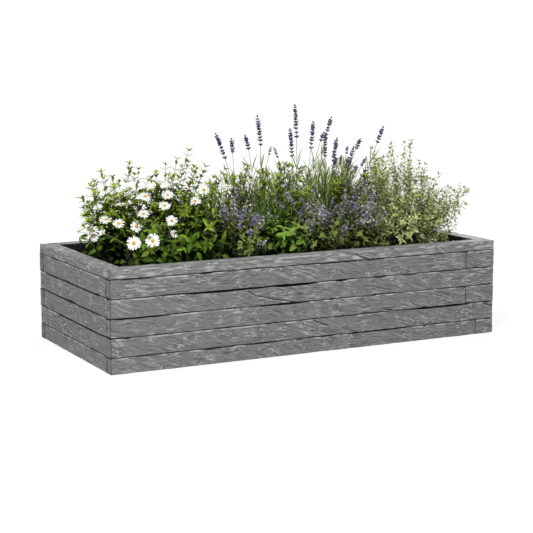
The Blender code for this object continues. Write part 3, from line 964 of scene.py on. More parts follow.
@dataclass
class SlateBar:
    """One bar of riven slate: a long block with a broken face, wavy edges and flatter beds."""

    name: str
    ending: Ending
    number: int
    clefts: tuple[Cleft, ...] = ()
    gapes: tuple[Point, ...] = ()
    has_short: bool = False
    step: float = 7.5 * MM
    face_step: float = 6.0 * MM
    bed_step: float = 9.0 * MM
    rounding: float = 1.5 * MM
    edge_row: float = 2.4 * MM
    edge_depth: float = 9 * MM
    undulation: float = 0.9 * MM
    terrace: float = 0.6 * MM
    crumble: float = 0.40 * MM
    highest: float = 1.0 * MM
    edge_wave: float = 2.4 * MM
    edge_chip: float = 5.4 * MM
    end_row: float = 2.2 * MM
    gape_ramp: float = 60 * MM
    end_gap: float = 0.4 * MM
    recess: float = 1.4 * MM
    caps: tuple[float, ...] = (0.0, 0.45, 0.8, 1.0)

    def __post_init__(self) -> None:
        """Measures the bar's box in its wall's frame, and draws what tells it from the other bars."""
        self.frame = self.side().frame()
        corners = [self.frame.inverted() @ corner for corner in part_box(self.name)]
        self.low = Vector([min(pair) for pair in zip(*corners)])
        self.size = Vector([max(pair) for pair in zip(*corners)]) - self.low
        rng = np.random.default_rng(100 + self.number)
        self.offset = rng.uniform(0, 30, 2)
        self.slope, self.bend = rng.uniform(-0.25, -0.07), rng.uniform(0.0, 0.12) / 1.75
        self.set_back = self.recess * rng.uniform(0.0, 1.0)
        self.tilt = rng.uniform(-0.8, 0.8) * MM

    def side(self) -> Side:
        """Reads the wall from the node's name."""
        return next(side for side in Side if side.name.lower() in self.name.split("_"))

    def is_butt(self, place: float) -> bool:
        """Tells whether this half of the bar ends at a joint that hardly shows.

        Args:
            place: Share of the way along the bar.

        Returns:
            Whether it ends at the butt joint of the third course, or at the left wall's rear corner.
        """
        if self.side() in (Side.LEFT, Side.BACK) and (place < 0.5) == (self.side() is Side.LEFT):
            return True
        short = self.name.endswith("_short")
        return self.name.startswith("course_3") and (short and place > 0.5 or self.has_short and place < 0.5)

    def stations(self) -> list[Pair]:
        """Lists the rows along the bar.

        Returns:
            Share of the way along, and size of the section there, which shrinks to a point at both ends.
        """
        columns = max(8, round(self.size.x / self.step))
        end = self.end_row / self.size.x
        rows = [0.0] * len(self.caps) + [end] + [i / columns for i in range(1, columns)] + [1 - end]
        rows += [1.0] * len(self.caps)
        shares = (*self.caps, *[1.0] * (columns + 1), *reversed(self.caps))
        return list(zip(rows, shares))

    def section(self) -> list[RingPoint]:
        """Lists the points round the bar's section, from the foot of the face.

        Returns:
            The points.
        """
        depth, height = self.size.y, self.size.z
        e, inner = self.rounding, self.rounding + self.edge_row
        face_rows = max(5, round((height - 2 * inner) / self.face_step))
        bed_rows = max(3, round((depth - 2 * e) / self.bed_step))
        diagonal = math.sqrt(0.5)
        near = e * (1 - diagonal)
        ring = [(0.0, e, -1.0, 0.0)]
        ring += [(0.0, inner + (height - 2 * inner) * i / face_rows, -1.0, 0.0) for i in range(face_rows + 1)]
        ring += [(0.0, height - e, -1.0, 0.0), (near, height - near, -diagonal, diagonal)]
        ring += [(e + (depth - 2 * e) * i / bed_rows, height, 0.0, 1.0) for i in range(bed_rows + 1)]
        ring += [(depth, height - e - (height - 2 * e) * i / 3, 1.0, 0.0) for i in range(4)]
        ring += [(depth - e - (depth - 2 * e) * i / bed_rows, 0.0, 0.0, -1.0) for i in range(bed_rows + 1)]
        ring.append((near, near, -diagonal, -diagonal))
        unrolled = [0.0]
        for (v0, z0, *_), (v1, z1, *_) in zip(ring, ring[1:]):
            unrolled.append(unrolled[-1] + math.hypot(v1 - v0, z1 - z0))
        return [RingPoint(*point, length) for point, length in zip(ring, unrolled)]

    def relief(self, along: float, over: float) -> float:
        """Works out the height of the riven skin.

        Args:
            along: Place along the grain.
            over: Place across it.

        Returns:
            Height of the skin above its mean.
        """
        swell = noise.noise(Vector((along / 0.16, over / 0.05, 1.7)))
        steps = 2.8 * noise.fractal(Vector((along / 0.12, over / 0.024, 5.1)), 0.7, 2.0, 3)
        whole = math.floor(steps)
        part = min(1.0, max(0.0, (steps - whole - 0.3) / 0.4))
        stairs = whole + part * part * (3 - 2 * part)
        crumble = noise.noise(Vector((along / 0.026, over / 0.011, 9.3)))
        return self.undulation * swell + self.terrace * stairs + self.crumble * crumble

    def opening(self, place: float) -> float:
        """Tells how far the joint above the bar stands open.

        Args:
            place: Place along the wall.

        Returns:
            Its width, which is 0 where it is closed.
        """
        found = 0.0
        for start, end, width in self.gapes:
            ramp = min(self.gape_ramp, (end - start) / 2)
            share = min(1.0, max(0.0, (place - start) / ramp), max(0.0, (end - place) / ramp))
            found = max(found, share * width)
        return found

    def skin(self, place: float, share: float, at: RingPoint) -> tuple[Vector, Point]:
        """Works out a point of the worn bar.

        Args:
            place: Share of the way along the bar.
            share: Size of the section there.
            at: The point of the section.

        Returns:
            Its place in the wall's frame, and its grain.
        """
        size, mitred = self.size, self.ending is Ending.MITRED
        u = (at.v if mitred else 0.0) + (size.x - 2 * at.v if mitred else size.x) * place
        # The grain falls a little to the right, and less so towards the far end of a bar.
        along = u + self.offset[0]
        over = at.unrolled + self.offset[1] - (self.slope + self.bend * u / 2) * u
        # The edges waver, so the joints are thick in places and thin in others.
        is_face, upper = at.out_v < -0.5, at.z > size.z / 2
        wave = max(0.0, noise.noise(Vector((along / 0.15, 3.0 if upper else 8.0, 0.0))) - 0.08)
        chip = max(0.0, noise.noise(Vector((along / 0.05, 5.0 if upper else 1.0, 4.0))) - 0.22)
        gaping = self.opening(u + self.low.x) if upper else 0.0
        edge_share = 1.0 if at.v < 12 * MM else 0.3
        if is_face:
            edge_share = max(0.0, 1 - min(at.z, size.z - at.z) / self.edge_depth)
        pinch = (self.edge_wave * wave + self.edge_chip * chip + gaping) * edge_share
        lift = min(self.relief(along, over) * (1.0 if at.out_v == -1.0 else 0.4) - 0.5 * MM, self.highest)
        lean = (self.set_back + self.tilt * (place - 0.5)) * max(0.0, 1 - at.v / (size.y * 0.6))
        v = at.v + at.out_v * lift + (lean + pinch * 0.5 * is_face)
        z = at.z + at.out_z * lift + (-pinch if upper else pinch)
        # How thick the joint looks, 0 to 1, sets the painted shade along the edge.
        thick = min(1.0, 0.18 + 2.4 * wave + 2.0 * chip + gaping / (2 * MM))
        grain = (along, over, min(1.0, max(-1.0, self.edge_chalk_and_painted_light(place, at, along, over, thick))))
        if place in (0.0, 1.0):
            inward = 1.0 if place == 0.0 else -1.0
            bumpy = 0.3 * MM * share * noise.noise(Vector((at.v / 0.02, at.z / 0.012, self.offset[0])))
            inset = self.end_gap + bumpy + (0.6 * MM if share == 1.0 else 0.0)
            middle_v, middle_z = size.y / 2, size.z / 2
            if mitred:
                u += inward * (1 - share) * (middle_v - at.v)
            u += inward * (0.0 if self.is_butt(place) else inset)
            v = middle_v + (v - middle_v) * share
            z = middle_z + (z - middle_z) * share
        if share < 1.0:
            grain = (along + (1 - share) * 0.02, at.z + self.offset[1], 0.2)
        return self.low + Vector((u, v, z)), grain

    def edge_chalk_and_painted_light(self, place: float, at: RingPoint, along: float, over: float, thick: float) -> float:
        """Works out the chalky paling and painted light of an edge: painted shade in the joints, a pale top edge.

        Args:
            place: Share of the way along the bar.
            at: The point of the section.
            along: Place along the grain.
            over: Place across it.
            thick: How thick the joint looks there, 0 to 1, which sets its painted shade.

        Returns:
            Below 0 where the edge is pale, part chalky and part painted highlight, above 0 where it gets painted
            shade.
        """
        from_edge = min(at.z, self.size.z - at.z)
        edge_chalk_and_painted_light = 0.0
        # Painted shade on the beds, the back and the rounded arris, then along the face's edges by how thick the
        # joint looks.
        if at.out_v >= -0.5 or from_edge < 1 * MM:
            edge_chalk_and_painted_light = 0.80
        elif from_edge < self.rounding + 0.5 * MM:
            edge_chalk_and_painted_light = thick
        # A pale top edge, part chalky and part painted highlight.
        elif from_edge < self.rounding + self.edge_row + 0.5 * MM and at.z > self.size.z / 2 and thick < 0.6:
            edge_chalk_and_painted_light = -2.2 * max(0.0, noise.noise(Vector((along / 0.05, over / 0.02, 2.0))) + 0.25)
        # Painted shade in the upright joint at a square end.
        if self.ending is Ending.SQUARE and not self.is_butt(place):
            reach = self.end_row * (2.6 if self.side() is Side.LEFT else 1.4)
            u = self.size.x * place
            edge_chalk_and_painted_light = max(edge_chalk_and_painted_light, 1 - min(u, self.size.x - u) / reach)
        # The coping's face and top are painted paler, as more light falls on them, with pale streaks along them.
        if self.name.startswith("coping") and (edge_chalk_and_painted_light == 0.0 or at.out_z > 0.5):
            return -0.15 - 0.9 * max(0.0, noise.noise(Vector((along / 0.06, over / 0.008, 6.0))))
        return edge_chalk_and_painted_light

    def build(self) -> None:
        """Models the bar in its node's box and settles it in the node's place."""
        stations, ring = self.stations(), self.section()
        columns, rows = len(stations) - 1, len(ring)
        bm = bmesh.new()
        bmesh.ops.create_grid(bm, x_segments=columns, y_segments=rows, size=0.5)
        grain = bm.verts.layers.float_vector.new(GRAIN)
        for vert in bm.verts:
            station = stations[round((vert.co.x + 0.5) * columns)]
            vert.co, vert[grain] = self.skin(*station, ring[round((vert.co.y + 0.5) * rows) % rows])
        bmesh.ops.remove_doubles(bm, verts=bm.verts, dist=JOIN_DISTANCE)
        bm.normal_update()
        front = [face for face in bm.faces if face.calc_center_median().y < self.low.y + 5 * MM]
        if sum(face.normal.y for face in front) > 0:
            bmesh.ops.reverse_faces(bm, faces=bm.faces)
            bm.normal_update()
        for cleft in self.clefts:
            cleft.cut(bm, grain)
        bmesh.ops.transform(bm, matrix=self.frame.to_4x4(), verts=bm.verts)
        mesh = bpy.data.meshes.new("riven_" + self.name)
        bm.to_mesh(mesh)
        bm.free()
        mesh.polygons.foreach_set("use_smooth", [True] * len(mesh.polygons))
        settle(placed_object(mesh.name, mesh, (Finishes.slate,)), "slate", self.name)


# The breaks of the bars that have some.
CLEFTS: dict[str, tuple[Cleft, ...]] = {
    "course_4_front": (
        Cleft(
            ((-0.3, 0.274), (-0.267, 0.254), (-0.223, 0.244), (-0.185, 0.233), (-0.095, 0.215)),
            4.5 * MM, crack_painted_light=0.76,
        ),
        Cleft(((0.276, 0.251), (0.3, 0.24), (0.36, 0.226)), crack_painted_light=0.68),
    ),
    "course_2_front": (
        Cleft(((-0.006, 0.133), (0.017, 0.121), (0.064, 0.104)), 5 * MM, 5 * MM),
        Cleft(((0.828, 0.131), (0.873, 0.116)), 4 * MM, 4.8 * MM),
    ),
    "course_3_front": (Cleft(((0.324, 0.15), (0.366, 0.142))),),
    "course_5_front": (
        Cleft(((0.392, 0.314), (0.41, 0.288)), 2 * MM, crack_painted_light=0.48),
        Cleft(((0.108, 0.329), (0.142, 0.306)), 2 * MM, crack_painted_light=0.52),
    ),
    "coping_front": (
        Cleft(((0.183, 0.389), (0.243, 0.362)), 4 * MM, 4.6 * MM, 0.62),
        Cleft(((0.584, 0.394), (0.627, 0.36)), 1 * MM, 4 * MM, -0.6),
    ),
    "coping_left": (Cleft(((-0.336, 0.402), (-0.336, 0.36)), 3 * MM, 5 * MM),),
}
# Where the joint above a bar stands open: start and end along the wall, and width.
GAPES: dict[str, tuple[Point, ...]] = {
    "course_1_front": (
        (-0.52, -0.38, 2.5 * MM), (-0.33, -0.15, 3 * MM), (0.02, 0.1, 3 * MM), (0.15, 0.46, 3.2 * MM),
    ),
    "course_2_front": ((0.45, 0.76, 5 * MM), (0.82, 0.86, 4 * MM)),
    "course_3_front": ((-0.27, -0.02, 4.8 * MM), (0.71, 0.86, 2.5 * MM)),
    "course_3_front_short": ((-0.87, -0.62, 3.2 * MM),),
    "course_4_front": (
        (-0.58, -0.2, 5.2 * MM), (-0.22, 0.02, 6.4 * MM), (0.09, 0.15, 6 * MM), (0.27, 0.34, 3 * MM),
        (0.4, 0.5, 2 * MM),
    ),
    "course_5_front": ((-0.52, -0.44, 2 * MM), (0.0, 0.22, 2 * MM), (0.7, 0.76, 3 * MM)),
    "course_4_left": ((-0.34, 0.3, 3 * MM),),
    "course_3_left": ((-0.34, 0.3, 3.2 * MM),),
    "course_2_left": ((-0.2, 0.34, 3.4 * MM),),
}


@dataclass
class SlateWall:
    """All the bars: lapped in the odd courses, mitred in the even courses and in the coping."""

    nodes: Iterable[str]

    def build(self) -> None:
        """Builds every bar."""
        bars = sorted(name for name in self.nodes if name.startswith(("course_", "coping_")))
        for number, name in enumerate(bars):
            mitred = name.startswith(("course_2", "course_4", "coping"))
            ending = Ending.MITRED if mitred else Ending.SQUARE
            has_short = name + "_short" in bars
            SlateBar(name, ending, number, CLEFTS.get(name, ()), GAPES.get(name, ()), has_short).build()


# ---------------- inside of the box


@dataclass
class CompostBed(Form):
    """The filling: lumpy compost that slumps a little to the liner, with bark crumbs on it."""

    node: str = "compost"
    step: float = 12 * MM
    sink: float = 12 * MM
    crown: float = 9 * MM
    lump: float = 4 * MM
    margin: float = 8 * MM
    crumbs: int = 1500

    def __post_init__(self) -> None:
        """Measures the filling's box."""
        self.low, self.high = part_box(self.node)
        self.size = self.high - self.low

    def surface(self, x: float, y: float) -> Vector:
        """Works out a point of the compost's surface.

        Args:
            x: Its place.
            y: Its place.

        Returns:
            The point.
        """
        across, along = 2 * (x - self.low.x) / self.size.x - 1, 2 * (y - self.low.y) / self.size.y - 1
        place = Vector((x, y, 0.0))
        crown = (1 - across**4) * (1 - along**4)
        lumps = noise.fractal(place / 0.05, 0.8, 2.0, 4)
        place.z = self.high.z - self.sink + self.crown * crown + self.lump * lumps
        return place

    def primitive(self, bm: BMesh) -> None:
        """Models the filling as one closed block.

        Args:
            bm: Takes the block.
        """
        low, size = self.low, self.size
        cells = {"x_segments": round(size.x / self.step), "y_segments": round(size.y / self.step)}
        bmesh.ops.create_grid(bm, **cells, size=0.5)
        for vert in bm.verts:
            x, y = vert.co.x + 0.5, vert.co.y + 0.5
            vert.co = self.surface(low.x + size.x * x, low.y + size.y * y)
        skirt = bmesh.ops.extrude_edge_only(bm, edges=[edge for edge in bm.edges if edge.is_boundary])["geom"]
        for vert in (item for item in skirt if isinstance(item, bmesh.types.BMVert)):
            vert.co.z = low.z
        bmesh.ops.contextual_create(bm, geom=[edge for edge in bm.edges if edge.is_boundary])
        bmesh.ops.recalc_face_normals(bm, faces=bm.faces)
        bmesh.ops.triangulate(bm, faces=bm.faces)

    def build(self) -> None:
        """Models the filling with its crumbs and settles it in its node's place."""
        low, high = self.low, self.high
        cluster = Cluster()
        cluster.add(self.stencil(Finishes.compost), Matrix.Identity(4))
        crumb = Bead(9 * MM, 6 * MM, 5, 3).stencil(Finishes.bark)
        rng = np.random.default_rng(41)
        for _ in range(self.crumbs):
            x = rng.uniform(low.x + self.margin, high.x - self.margin)
            y = rng.uniform(low.y + self.margin, high.y - self.margin)
            place = self.surface(x, y)
            turn = rng.uniform(0, 2 * math.pi)
            along = Vector((math.cos(turn), math.sin(turn), rng.uniform(-0.3, 0.3)))
            stretch = (rng.uniform(0.5, 1.3), rng.uniform(0.6, 1.8), rng.uniform(0.3, 0.8))
            cluster.add(crumb, pose_along(place, along, UP, stretch), rng.random())
        settle(cluster.build("crumbly_compost"), "compost", self.node)


def dress_kept_solids(nodes: dict[str, Object]) -> None:
    """Gives the solids that stay their finish, and reports each.

    Args:
        nodes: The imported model's nodes.
    """
    kept = {
        "backing_board": Finishes.board,
        "corner_angle": Finishes.steel,
        "liner": Finishes.fleece,
        "drainage_gravel": Finishes.gravel,
    }
    for name, node in nodes.items():
        for start, finish in kept.items():
            if name.startswith(start):
                node.data.materials.clear()
                node.data.materials.append(finish.material())
                LOG.info("%s: its own solid, in %s", name, finish.name)


# ---------------- how plants grow


def between(ends: Pair, share: float) -> float:
    """Gives the number at a share of the way between two."""
    return ends[0] + (ends[1] - ends[0]) * share


def sideways(axis: Vector, turn: float) -> Vector:
    """Gives a direction square to an axis.

    Args:
        axis: The axis, a unit vector.
        turn: Turn about it, in radians.

    Returns:
        A unit vector.
    """
    side = axis.orthogonal().normalized()
    side.rotate(Matrix.Rotation(turn, 3, axis))
    return side


def opened(axis: Vector, side: Vector, angle: float) -> Vector:
    """Gives the direction between an axis and a side square to it, at an angle to the axis."""
    return axis * math.cos(angle) + side * math.sin(angle)


@dataclass(frozen=True)
class Run:
    """The line of a stem: a curve from its foot, past a knee, to its tip."""

    foot: Vector
    knee: Vector
    tip: Vector

    def at(self, share: float) -> Vector:
        """Gives the point at a share of the curve, which is 0 at the foot and 1 at the tip."""
        rest = 1 - share
        return self.foot * rest * rest + self.knee * (2 * rest * share) + self.tip * share * share

    def heading(self, share: float) -> Vector:
        """Gives the direction of growth there, as a unit vector."""
        return ((self.knee - self.foot) * (1 - share) + (self.tip - self.knee) * share).normalized()

    def length(self) -> float:
        """Measures the curve."""
        points = [self.at(i / 8) for i in range(9)]
        return sum((b - a).length for a, b in zip(points, points[1:]))


@dataclass(frozen=True)
class Foliage:
    """How leaves sit on a stem.

    They start at the share first of its line and end at last. count of them stand at each node, and the
    nodes are spacing apart. opening (angle to the stem) and tones run from the lowest node to the top one,
    and sizes has the lowest, the middle and the top one. scatter strews the angles and mix the tones. A low tone
    paints shade on the leaf.
    """

    leaf: Stencil
    first: float
    last: float
    spacing: float
    count: int
    opening: Pair
    sizes: Point
    tones: Pair
    scatter: float = 0.25
    mix: float = 0.38


@dataclass(frozen=True)
class Tuft:
    """The rosette of young leaves that ends a shoot: their number, angle to the stem, scale and tone."""

    leaf: Stencil
    count: int
    opening: float
    size: float
    tone: float
    mix: float = 0.0


@dataclass(frozen=True)
class Shoot:
    """A kind of shoot: its leaves, its tuft, its stem, and how its line rises first and then leans out.

    spread is how far from the root it leaves the compost. outward and lift are the shares of the sideways
    travel and of the rise that are made at its knee.
    """

    habit: Foliage
    tuft: Tuft | None
    spread: float
    outward: float = 0.5
    lift: float = 0.55
    radius: float = 1.3 * MM
    steps: int = 5
    taper: float = 0.5


@dataclass(frozen=True)
class Mound:
    """The dome that a plant's leaves fill.

    It holds the plant's root, the dome's plan box, and the heights of its top, of the ground and of its
    lowest leaves. fullness is how square it is.
    """

    root: Pair
    low: Pair
    high: Pair
    top: float
    ground: float = 0.340
    skirt: float = 0.395
    fullness: float = 4.0


class Growth:
    """Grows stems, leaves and flowers of one plant into a cluster."""

    def __init__(self, plant: "Plant", shift: int = 0, heads: Sequence[Vector] = ()) -> None:
        """Starts an empty growth.

        Args:
            plant: The plant.
            shift: Added to the plant's seed, for a chance of its own.
            heads: Middles of flower heads, which stand in the light with no leaf before them.
        """
        self.rng = np.random.default_rng(plant.seed + shift)
        self.cluster = Cluster()
        self.rod = Rod().stencil(plant.stem)
        self.mound = plant.mound
        self.heads = heads

    def around(self, spread: float) -> float:
        """Draws a number evenly from -spread to spread."""
        return float(self.rng.uniform(-spread, spread))

    def chance(self) -> float:
        """Draws a number evenly from 0 to 1."""
        return float(self.rng.random())

    def is_clear(self, point: Vector) -> bool:
        """Tells whether a leaf leaves every flower head free towards the light.

        Args:
            point: Middle of the leaf.

        Returns:
            Whether it does.
        """
        for middle in self.heads:
            off = point - middle
            ahead = off.dot(OPEN_SIDE)
            if HEAD_NEAR < ahead < HEAD_FAR and (off - OPEN_SIDE * ahead).length < HEAD_REACH:
                return False
        return True

    def foot(self, spread: float) -> Vector:
        """Draws where a stem leaves the ground, at most spread from the root."""
        root = self.mound.root
        return Vector((root[0] + self.around(spread), root[1] + self.around(spread), self.mound.ground))

    def front_tips(self, count: int) -> list[Vector]:
        """Sets tips low along the front edge, where the plant hangs towards the light.

        Args:
            count: How many tips.

        Returns:
            The tips, from left to right.
        """
        low, high = self.mound.low, self.mound.high
        width = high[0] - low[0]
        return [
            Vector((
                low[0] + width * (i + 0.5) / count + self.around(0.012),
                low[1] + self.rng.uniform(0.005, 0.045),
                self.rng.uniform(0.405, 0.455),
            ))
            for i in range(count)
        ]

    def tips(self, count: int, inner: float = 0.82, holes: float = -1.0) -> list[Vector]:
        """Spreads stem tips over the plan, with holes that show the dark inside of the plant.

        Args:
            count: How many tips, before those in the holes are left out.
            inner: Least share of the dome's height.
            holes: Noise below which there is a hole. At -1 there is none.

        Returns:
            The tips, from the crown outwards.
        """
        mound = self.mound
        centre = [(low + high) / 2 for low, high in zip(mound.low, mound.high)]
        half = [(high - low) / 2 for low, high in zip(mound.low, mound.high)]
        golden_turn = math.pi * (3 - math.sqrt(5))
        found = []
        for i in range(count):
            out = math.sqrt((i + 0.5) / count)
            turn = i * golden_turn + self.around(0.2)
            across, deep = math.cos(turn), math.sin(turn)
            square = (abs(across) ** 3 + abs(deep) ** 3) ** (-1 / 3)
            rise = math.sqrt(max(0.0, 1 - out**mound.fullness))
            height = (mound.top - mound.skirt) * rise * self.rng.uniform(inner, 1.05)
            tip = Vector((
                centre[0] + half[0] * out * square * across + self.around(0.008),
                centre[1] + half[1] * out * square * deep + self.around(0.008),
                mound.skirt + height + self.around(0.012),
            ))
            if noise.noise(tip / 0.055) > holes:
                found.append(tip)
        return found

    def together(self, places: Iterable[Point], count: int, spread: float, sink: Pair) -> Iterator[Vector]:
        """Draws the tips of shoots that stand in groups.

        Args:
            places: Tip of the first shoot of each group.
            count: Shoots in a group.
            spread: How far the others stray from the first.
            sink: How much lower they end, least and most, in shares of the spread.

        Yields:
            The tips, each drawn just before its shoot grows.
        """
        for place in places:
            for reach in (0.0, *[spread] * (count - 1)):
                off = (self.around(reach), self.around(reach), -self.rng.uniform(*sink) * reach)
                yield Vector(place) + Vector(off)

    def shoot(self, kind: Shoot, tip: Vector) -> Run:
        """Grows a shoot from the compost.

        Args:
            kind: The kind of shoot.
            tip: Where it ends.

        Returns:
            The line of its stem.
        """
        foot = self.foot(kind.spread)
        travel = tip - foot
        knee = foot + Vector((travel.x * kind.outward, travel.y * kind.outward, travel.z * kind.lift))
        knee += Vector((self.around(0.012), self.around(0.012), 0.0))
        run = Run(foot, knee, tip)
        self.stem(run, kind.radius, kind.steps, kind.taper)
        self.leaves(run, kind.habit)
        if kind.tuft:
            self.end(run, kind.tuft)
        return run

    def shoots(self, kind: Shoot, tips: Iterable[Vector]) -> None:
        """Grows a shoot of one kind to each tip."""
        for tip in tips:
            self.shoot(kind, tip)

    def stem(self, run: Run, radius: float, steps: int, taper: float = 0.5) -> None:
        """Models a stem as short lengths that overlap a little.

        Args:
            run: The stem's line.
            radius: At its foot.
            steps: Number of lengths.
            taper: Radius at the tip over the radius at the foot.
        """
        tone = self.chance()
        points = [run.at(i / steps) for i in range(steps + 1)]
        for i, (low, high) in enumerate(zip(points, points[1:])):
            thick = radius * (1 - (1 - taper) * i / steps)
            along = high - low
            pose = pose_along(low, along, Vector((0.3, -1.0, 0.1)), (thick, along.length * 1.04, thick))
            self.cluster.add(self.rod, pose, tone)

    def leaves(self, run: Run, habit: Foliage) -> None:
        """Sets leaves round a stem in pairs or whorls, each turned from the one below.

        Args:
            run: The stem's line.
            habit: How the leaves sit.
        """
        nodes = max(1, round(run.length() * (habit.last - habit.first) / habit.spacing))
        turn = self.around(math.pi)
        low, middle, high = habit.sizes
        for n in range(nodes + 1):
            part = n / nodes
            share = between((habit.first, habit.last), part)
            origin, heading = run.at(share), run.heading(share)
            turn += math.pi / habit.count + self.around(0.2)
            size = between((low, middle), part * 2) if part < 0.5 else between((middle, high), part * 2 - 1)
            for k in range(habit.count):
                side = sideways(heading, turn + 2 * math.pi * k / habit.count + self.around(habit.scatter))
                along = opened(heading, side, between(habit.opening, part) + self.around(habit.scatter))
                facing = heading - along * heading.dot(along) + UP * 0.25
                tone = min(1.0, max(0.0, between(habit.tones, part) + self.around(habit.mix)))
                scale = size * (1 + self.around(0.18))
                if self.is_clear(origin + along * 15 * MM):
                    self.cluster.add(habit.leaf, pose_along(origin, along, facing, scale), tone)

    def end(self, run: Run, tuft: Tuft) -> None:
        """Ends a stem with its tuft.

        Args:
            run: The stem's line.
            tuft: The tuft.
        """
        heading = run.heading(1.0)
        tone = tuft.tone + (self.around(tuft.mix) if tuft.mix else 0.0)
        for k in range(tuft.count):
            side = sideways(heading, 2 * math.pi * k / tuft.count + self.around(0.5))
            along = opened(heading, side, tuft.opening + self.around(0.25))
            scale = tuft.size * (1 + self.around(0.2))
            if self.is_clear(run.tip + along * 10 * MM):
                self.cluster.add(tuft.leaf, pose_along(run.tip, along, heading, scale), tone)


# ---------------- the plants


@dataclass
class Plant:
    """A plant of the bed: its node's name, the dome that its leaves fill, and the seed of its chance."""

    stem: ClassVar[Finish] = Finishes.green_stem
    name: str
    mound: Mound
    seed: int

    def build(self) -> None:
        """Grows the plant and settles it in its node's place."""
        raise NotImplementedError


@dataclass(frozen=True)
class DaisyHead:
    """One open daisy: its middle, where it faces, its scale, and how far its petals rise."""

    middle: Point
    facing: Point = (-0.20, -0.55, 0.80)
    scale: float = 1.0
    rise: float = 0.14


@dataclass
class DaisyPlant(Plant):
    """Daisy: leafy pairs on upright shoots, white heads with a golden eye on thin stalks."""

    heads: tuple[DaisyHead, ...]
    shoots: tuple[Point, ...] = ()
    stems: int = 54
    leaf_size: Pair = (53 * MM, 17 * MM)
    leaf_gap: float = 30 * MM
    group: int = 3
    broad_stems: int = 0
    holes: float = -0.45
    tones: Pair = (0.05, 0.75)
    petals: int = 19
    near_heads: tuple[DaisyHead, ...] = ()

    def build(self) -> None:
        """Grows the foliage and sets the heads."""
        growth = Growth(self, heads=[Vector(head.middle) for head in self.near_heads])
        leaf = Blade(*self.leaf_size, 4, 0.42, 0.85, 1.0, 0.35).stencil(Finishes.daisy_leaf)
        young = Blade(46 * MM, 13 * MM, 4, 0.4, 0.9, 1.1, 0.35).stencil(Finishes.young_leaf)
        habit = Foliage(leaf, 0.25, 1.0, self.leaf_gap, 2, (1.15, 0.6), (0.8, 1.0, 0.65), self.tones, 0.3)
        low = Shoot(habit, Tuft(young, 4, 0.75, 0.75, 0.3, 0.4), 0.035, 0.35, 0.6)
        growth.shoots(low, growth.tips(self.stems, holes=self.holes))
        habit = Foliage(young, 0.40, 0.95, 30 * MM, 2, (0.85, 0.60), (1.15, 1.0, 0.8), (0.45, 1.0))
        tall = Shoot(habit, Tuft(young, 5, 0.60, 0.70, 0.9, 0.1), 0.04, 0.55, 0.5, 1.7 * MM, 7, 0.7)
        growth.shoots(tall, growth.together(self.shoots, self.group, 0.035, (0.4, 2.0)))
        self.grow_broad_leaves(growth)
        for head in self.heads:
            neck = Vector(head.middle) - Vector(head.facing).normalized() * 6 * MM * head.scale
            foot = growth.foot(0.03)
            knee = foot.lerp(neck, 0.5)
            knee.z = neck.z - 10 * MM
            growth.stem(Run(foot, knee, neck), 1.1 * MM, 7, 0.8)
        settle(growth.cluster.build("foliage_of_" + self.name), "daisy_foliage", self.name)
        self.build_heads()

    def grow_broad_leaves(self, growth: Growth) -> None:
        """Grows the broad low leaves that hang over the front of the plant.

        Args:
            growth: The plant's growth.
        """
        broad = Blade(60 * MM, 27 * MM, 4, 0.40, 0.85, 1.0, 0.30, 4 * MM).stencil(Finishes.broad_leaf)
        habit = Foliage(broad, 0.62, 1.0, 34 * MM, 2, (1.3, 0.8), (0.75, 1.0, 0.7), (-0.2, 0.7), 0.35)
        hanging = Shoot(habit, None, 0.02, 0.6, 0.9, 1.4 * MM, 4)
        for _ in range(self.broad_stems):
            x = growth.rng.uniform(self.mound.low[0] - 0.035, self.mound.high[0] - 0.01)
            y = self.mound.low[1] + 0.02 + abs(growth.around(0.11))
            growth.shoot(hanging, Vector((x, y, growth.rng.uniform(0.385, 0.47))))

    def build_heads(self) -> None:
        """Models the open heads."""
        growth = Growth(self, FLOWERS)
        petal = Strap(20 * MM, 5.4 * MM, 0.15).stencil(Finishes.daisy_petal)
        eye = DomedEye(6.4 * MM, 4.0 * MM).stencil(Finishes.daisy_eye)
        cup = Cup(6.5 * MM, 6.5 * MM).stencil(Finishes.daisy_leaf)
        add = growth.cluster.add
        for head in self.heads:
            facing = Vector(head.facing) + Vector((growth.around(0.12), growth.around(0.12), growth.around(0.1)))
            facing.normalize()
            across, middle = facing.orthogonal().normalized(), Vector(head.middle)
            eye_size = head.scale * (1.0 if head.rise < 0.5 else 0.6)
            add(eye, pose_along(middle, across, facing, eye_size), growth.chance())
            add(cup, pose_along(middle - facing * 2 * MM, across, facing, head.scale), 0.3)
            for k in range(self.petals):
                # Every other petal lies in a second, lower row.
                row = k % 2
                side = sideways(facing, 2 * math.pi * k / self.petals + growth.around(0.09))
                along = opened(side, facing, head.rise + growth.around(0.16) - 0.10 * row)
                origin = middle + side * 5.2 * MM * head.scale - facing * (0.6 + 0.8 * row) * MM
                size = head.scale * (1 + growth.around(0.12))
                add(petal, pose_along(origin, along, facing, size), growth.chance() * 0.6)
        settle(growth.cluster.build("heads_of_" + self.name), "daisy_flower")


@dataclass(frozen=True)
class Spike:
    """One lavender flower spike in a plane of equal y: its tip, and the foot of the part that bears flowers.

    faded is the share of its buds that have gone grey.
    """

    x: float
    y: float
    z: float
    base_x: float
    base_z: float
    scale: float = 1.0
    faded: float = 0.0

    def tip(self) -> Vector:
        """Gives its tip."""
        return Vector((self.x, self.y, self.z))

    def span(self) -> Vector:
        """Gives the way from its tip down to its foot."""
        return Vector((self.base_x, self.y, self.base_z)) - self.tip()


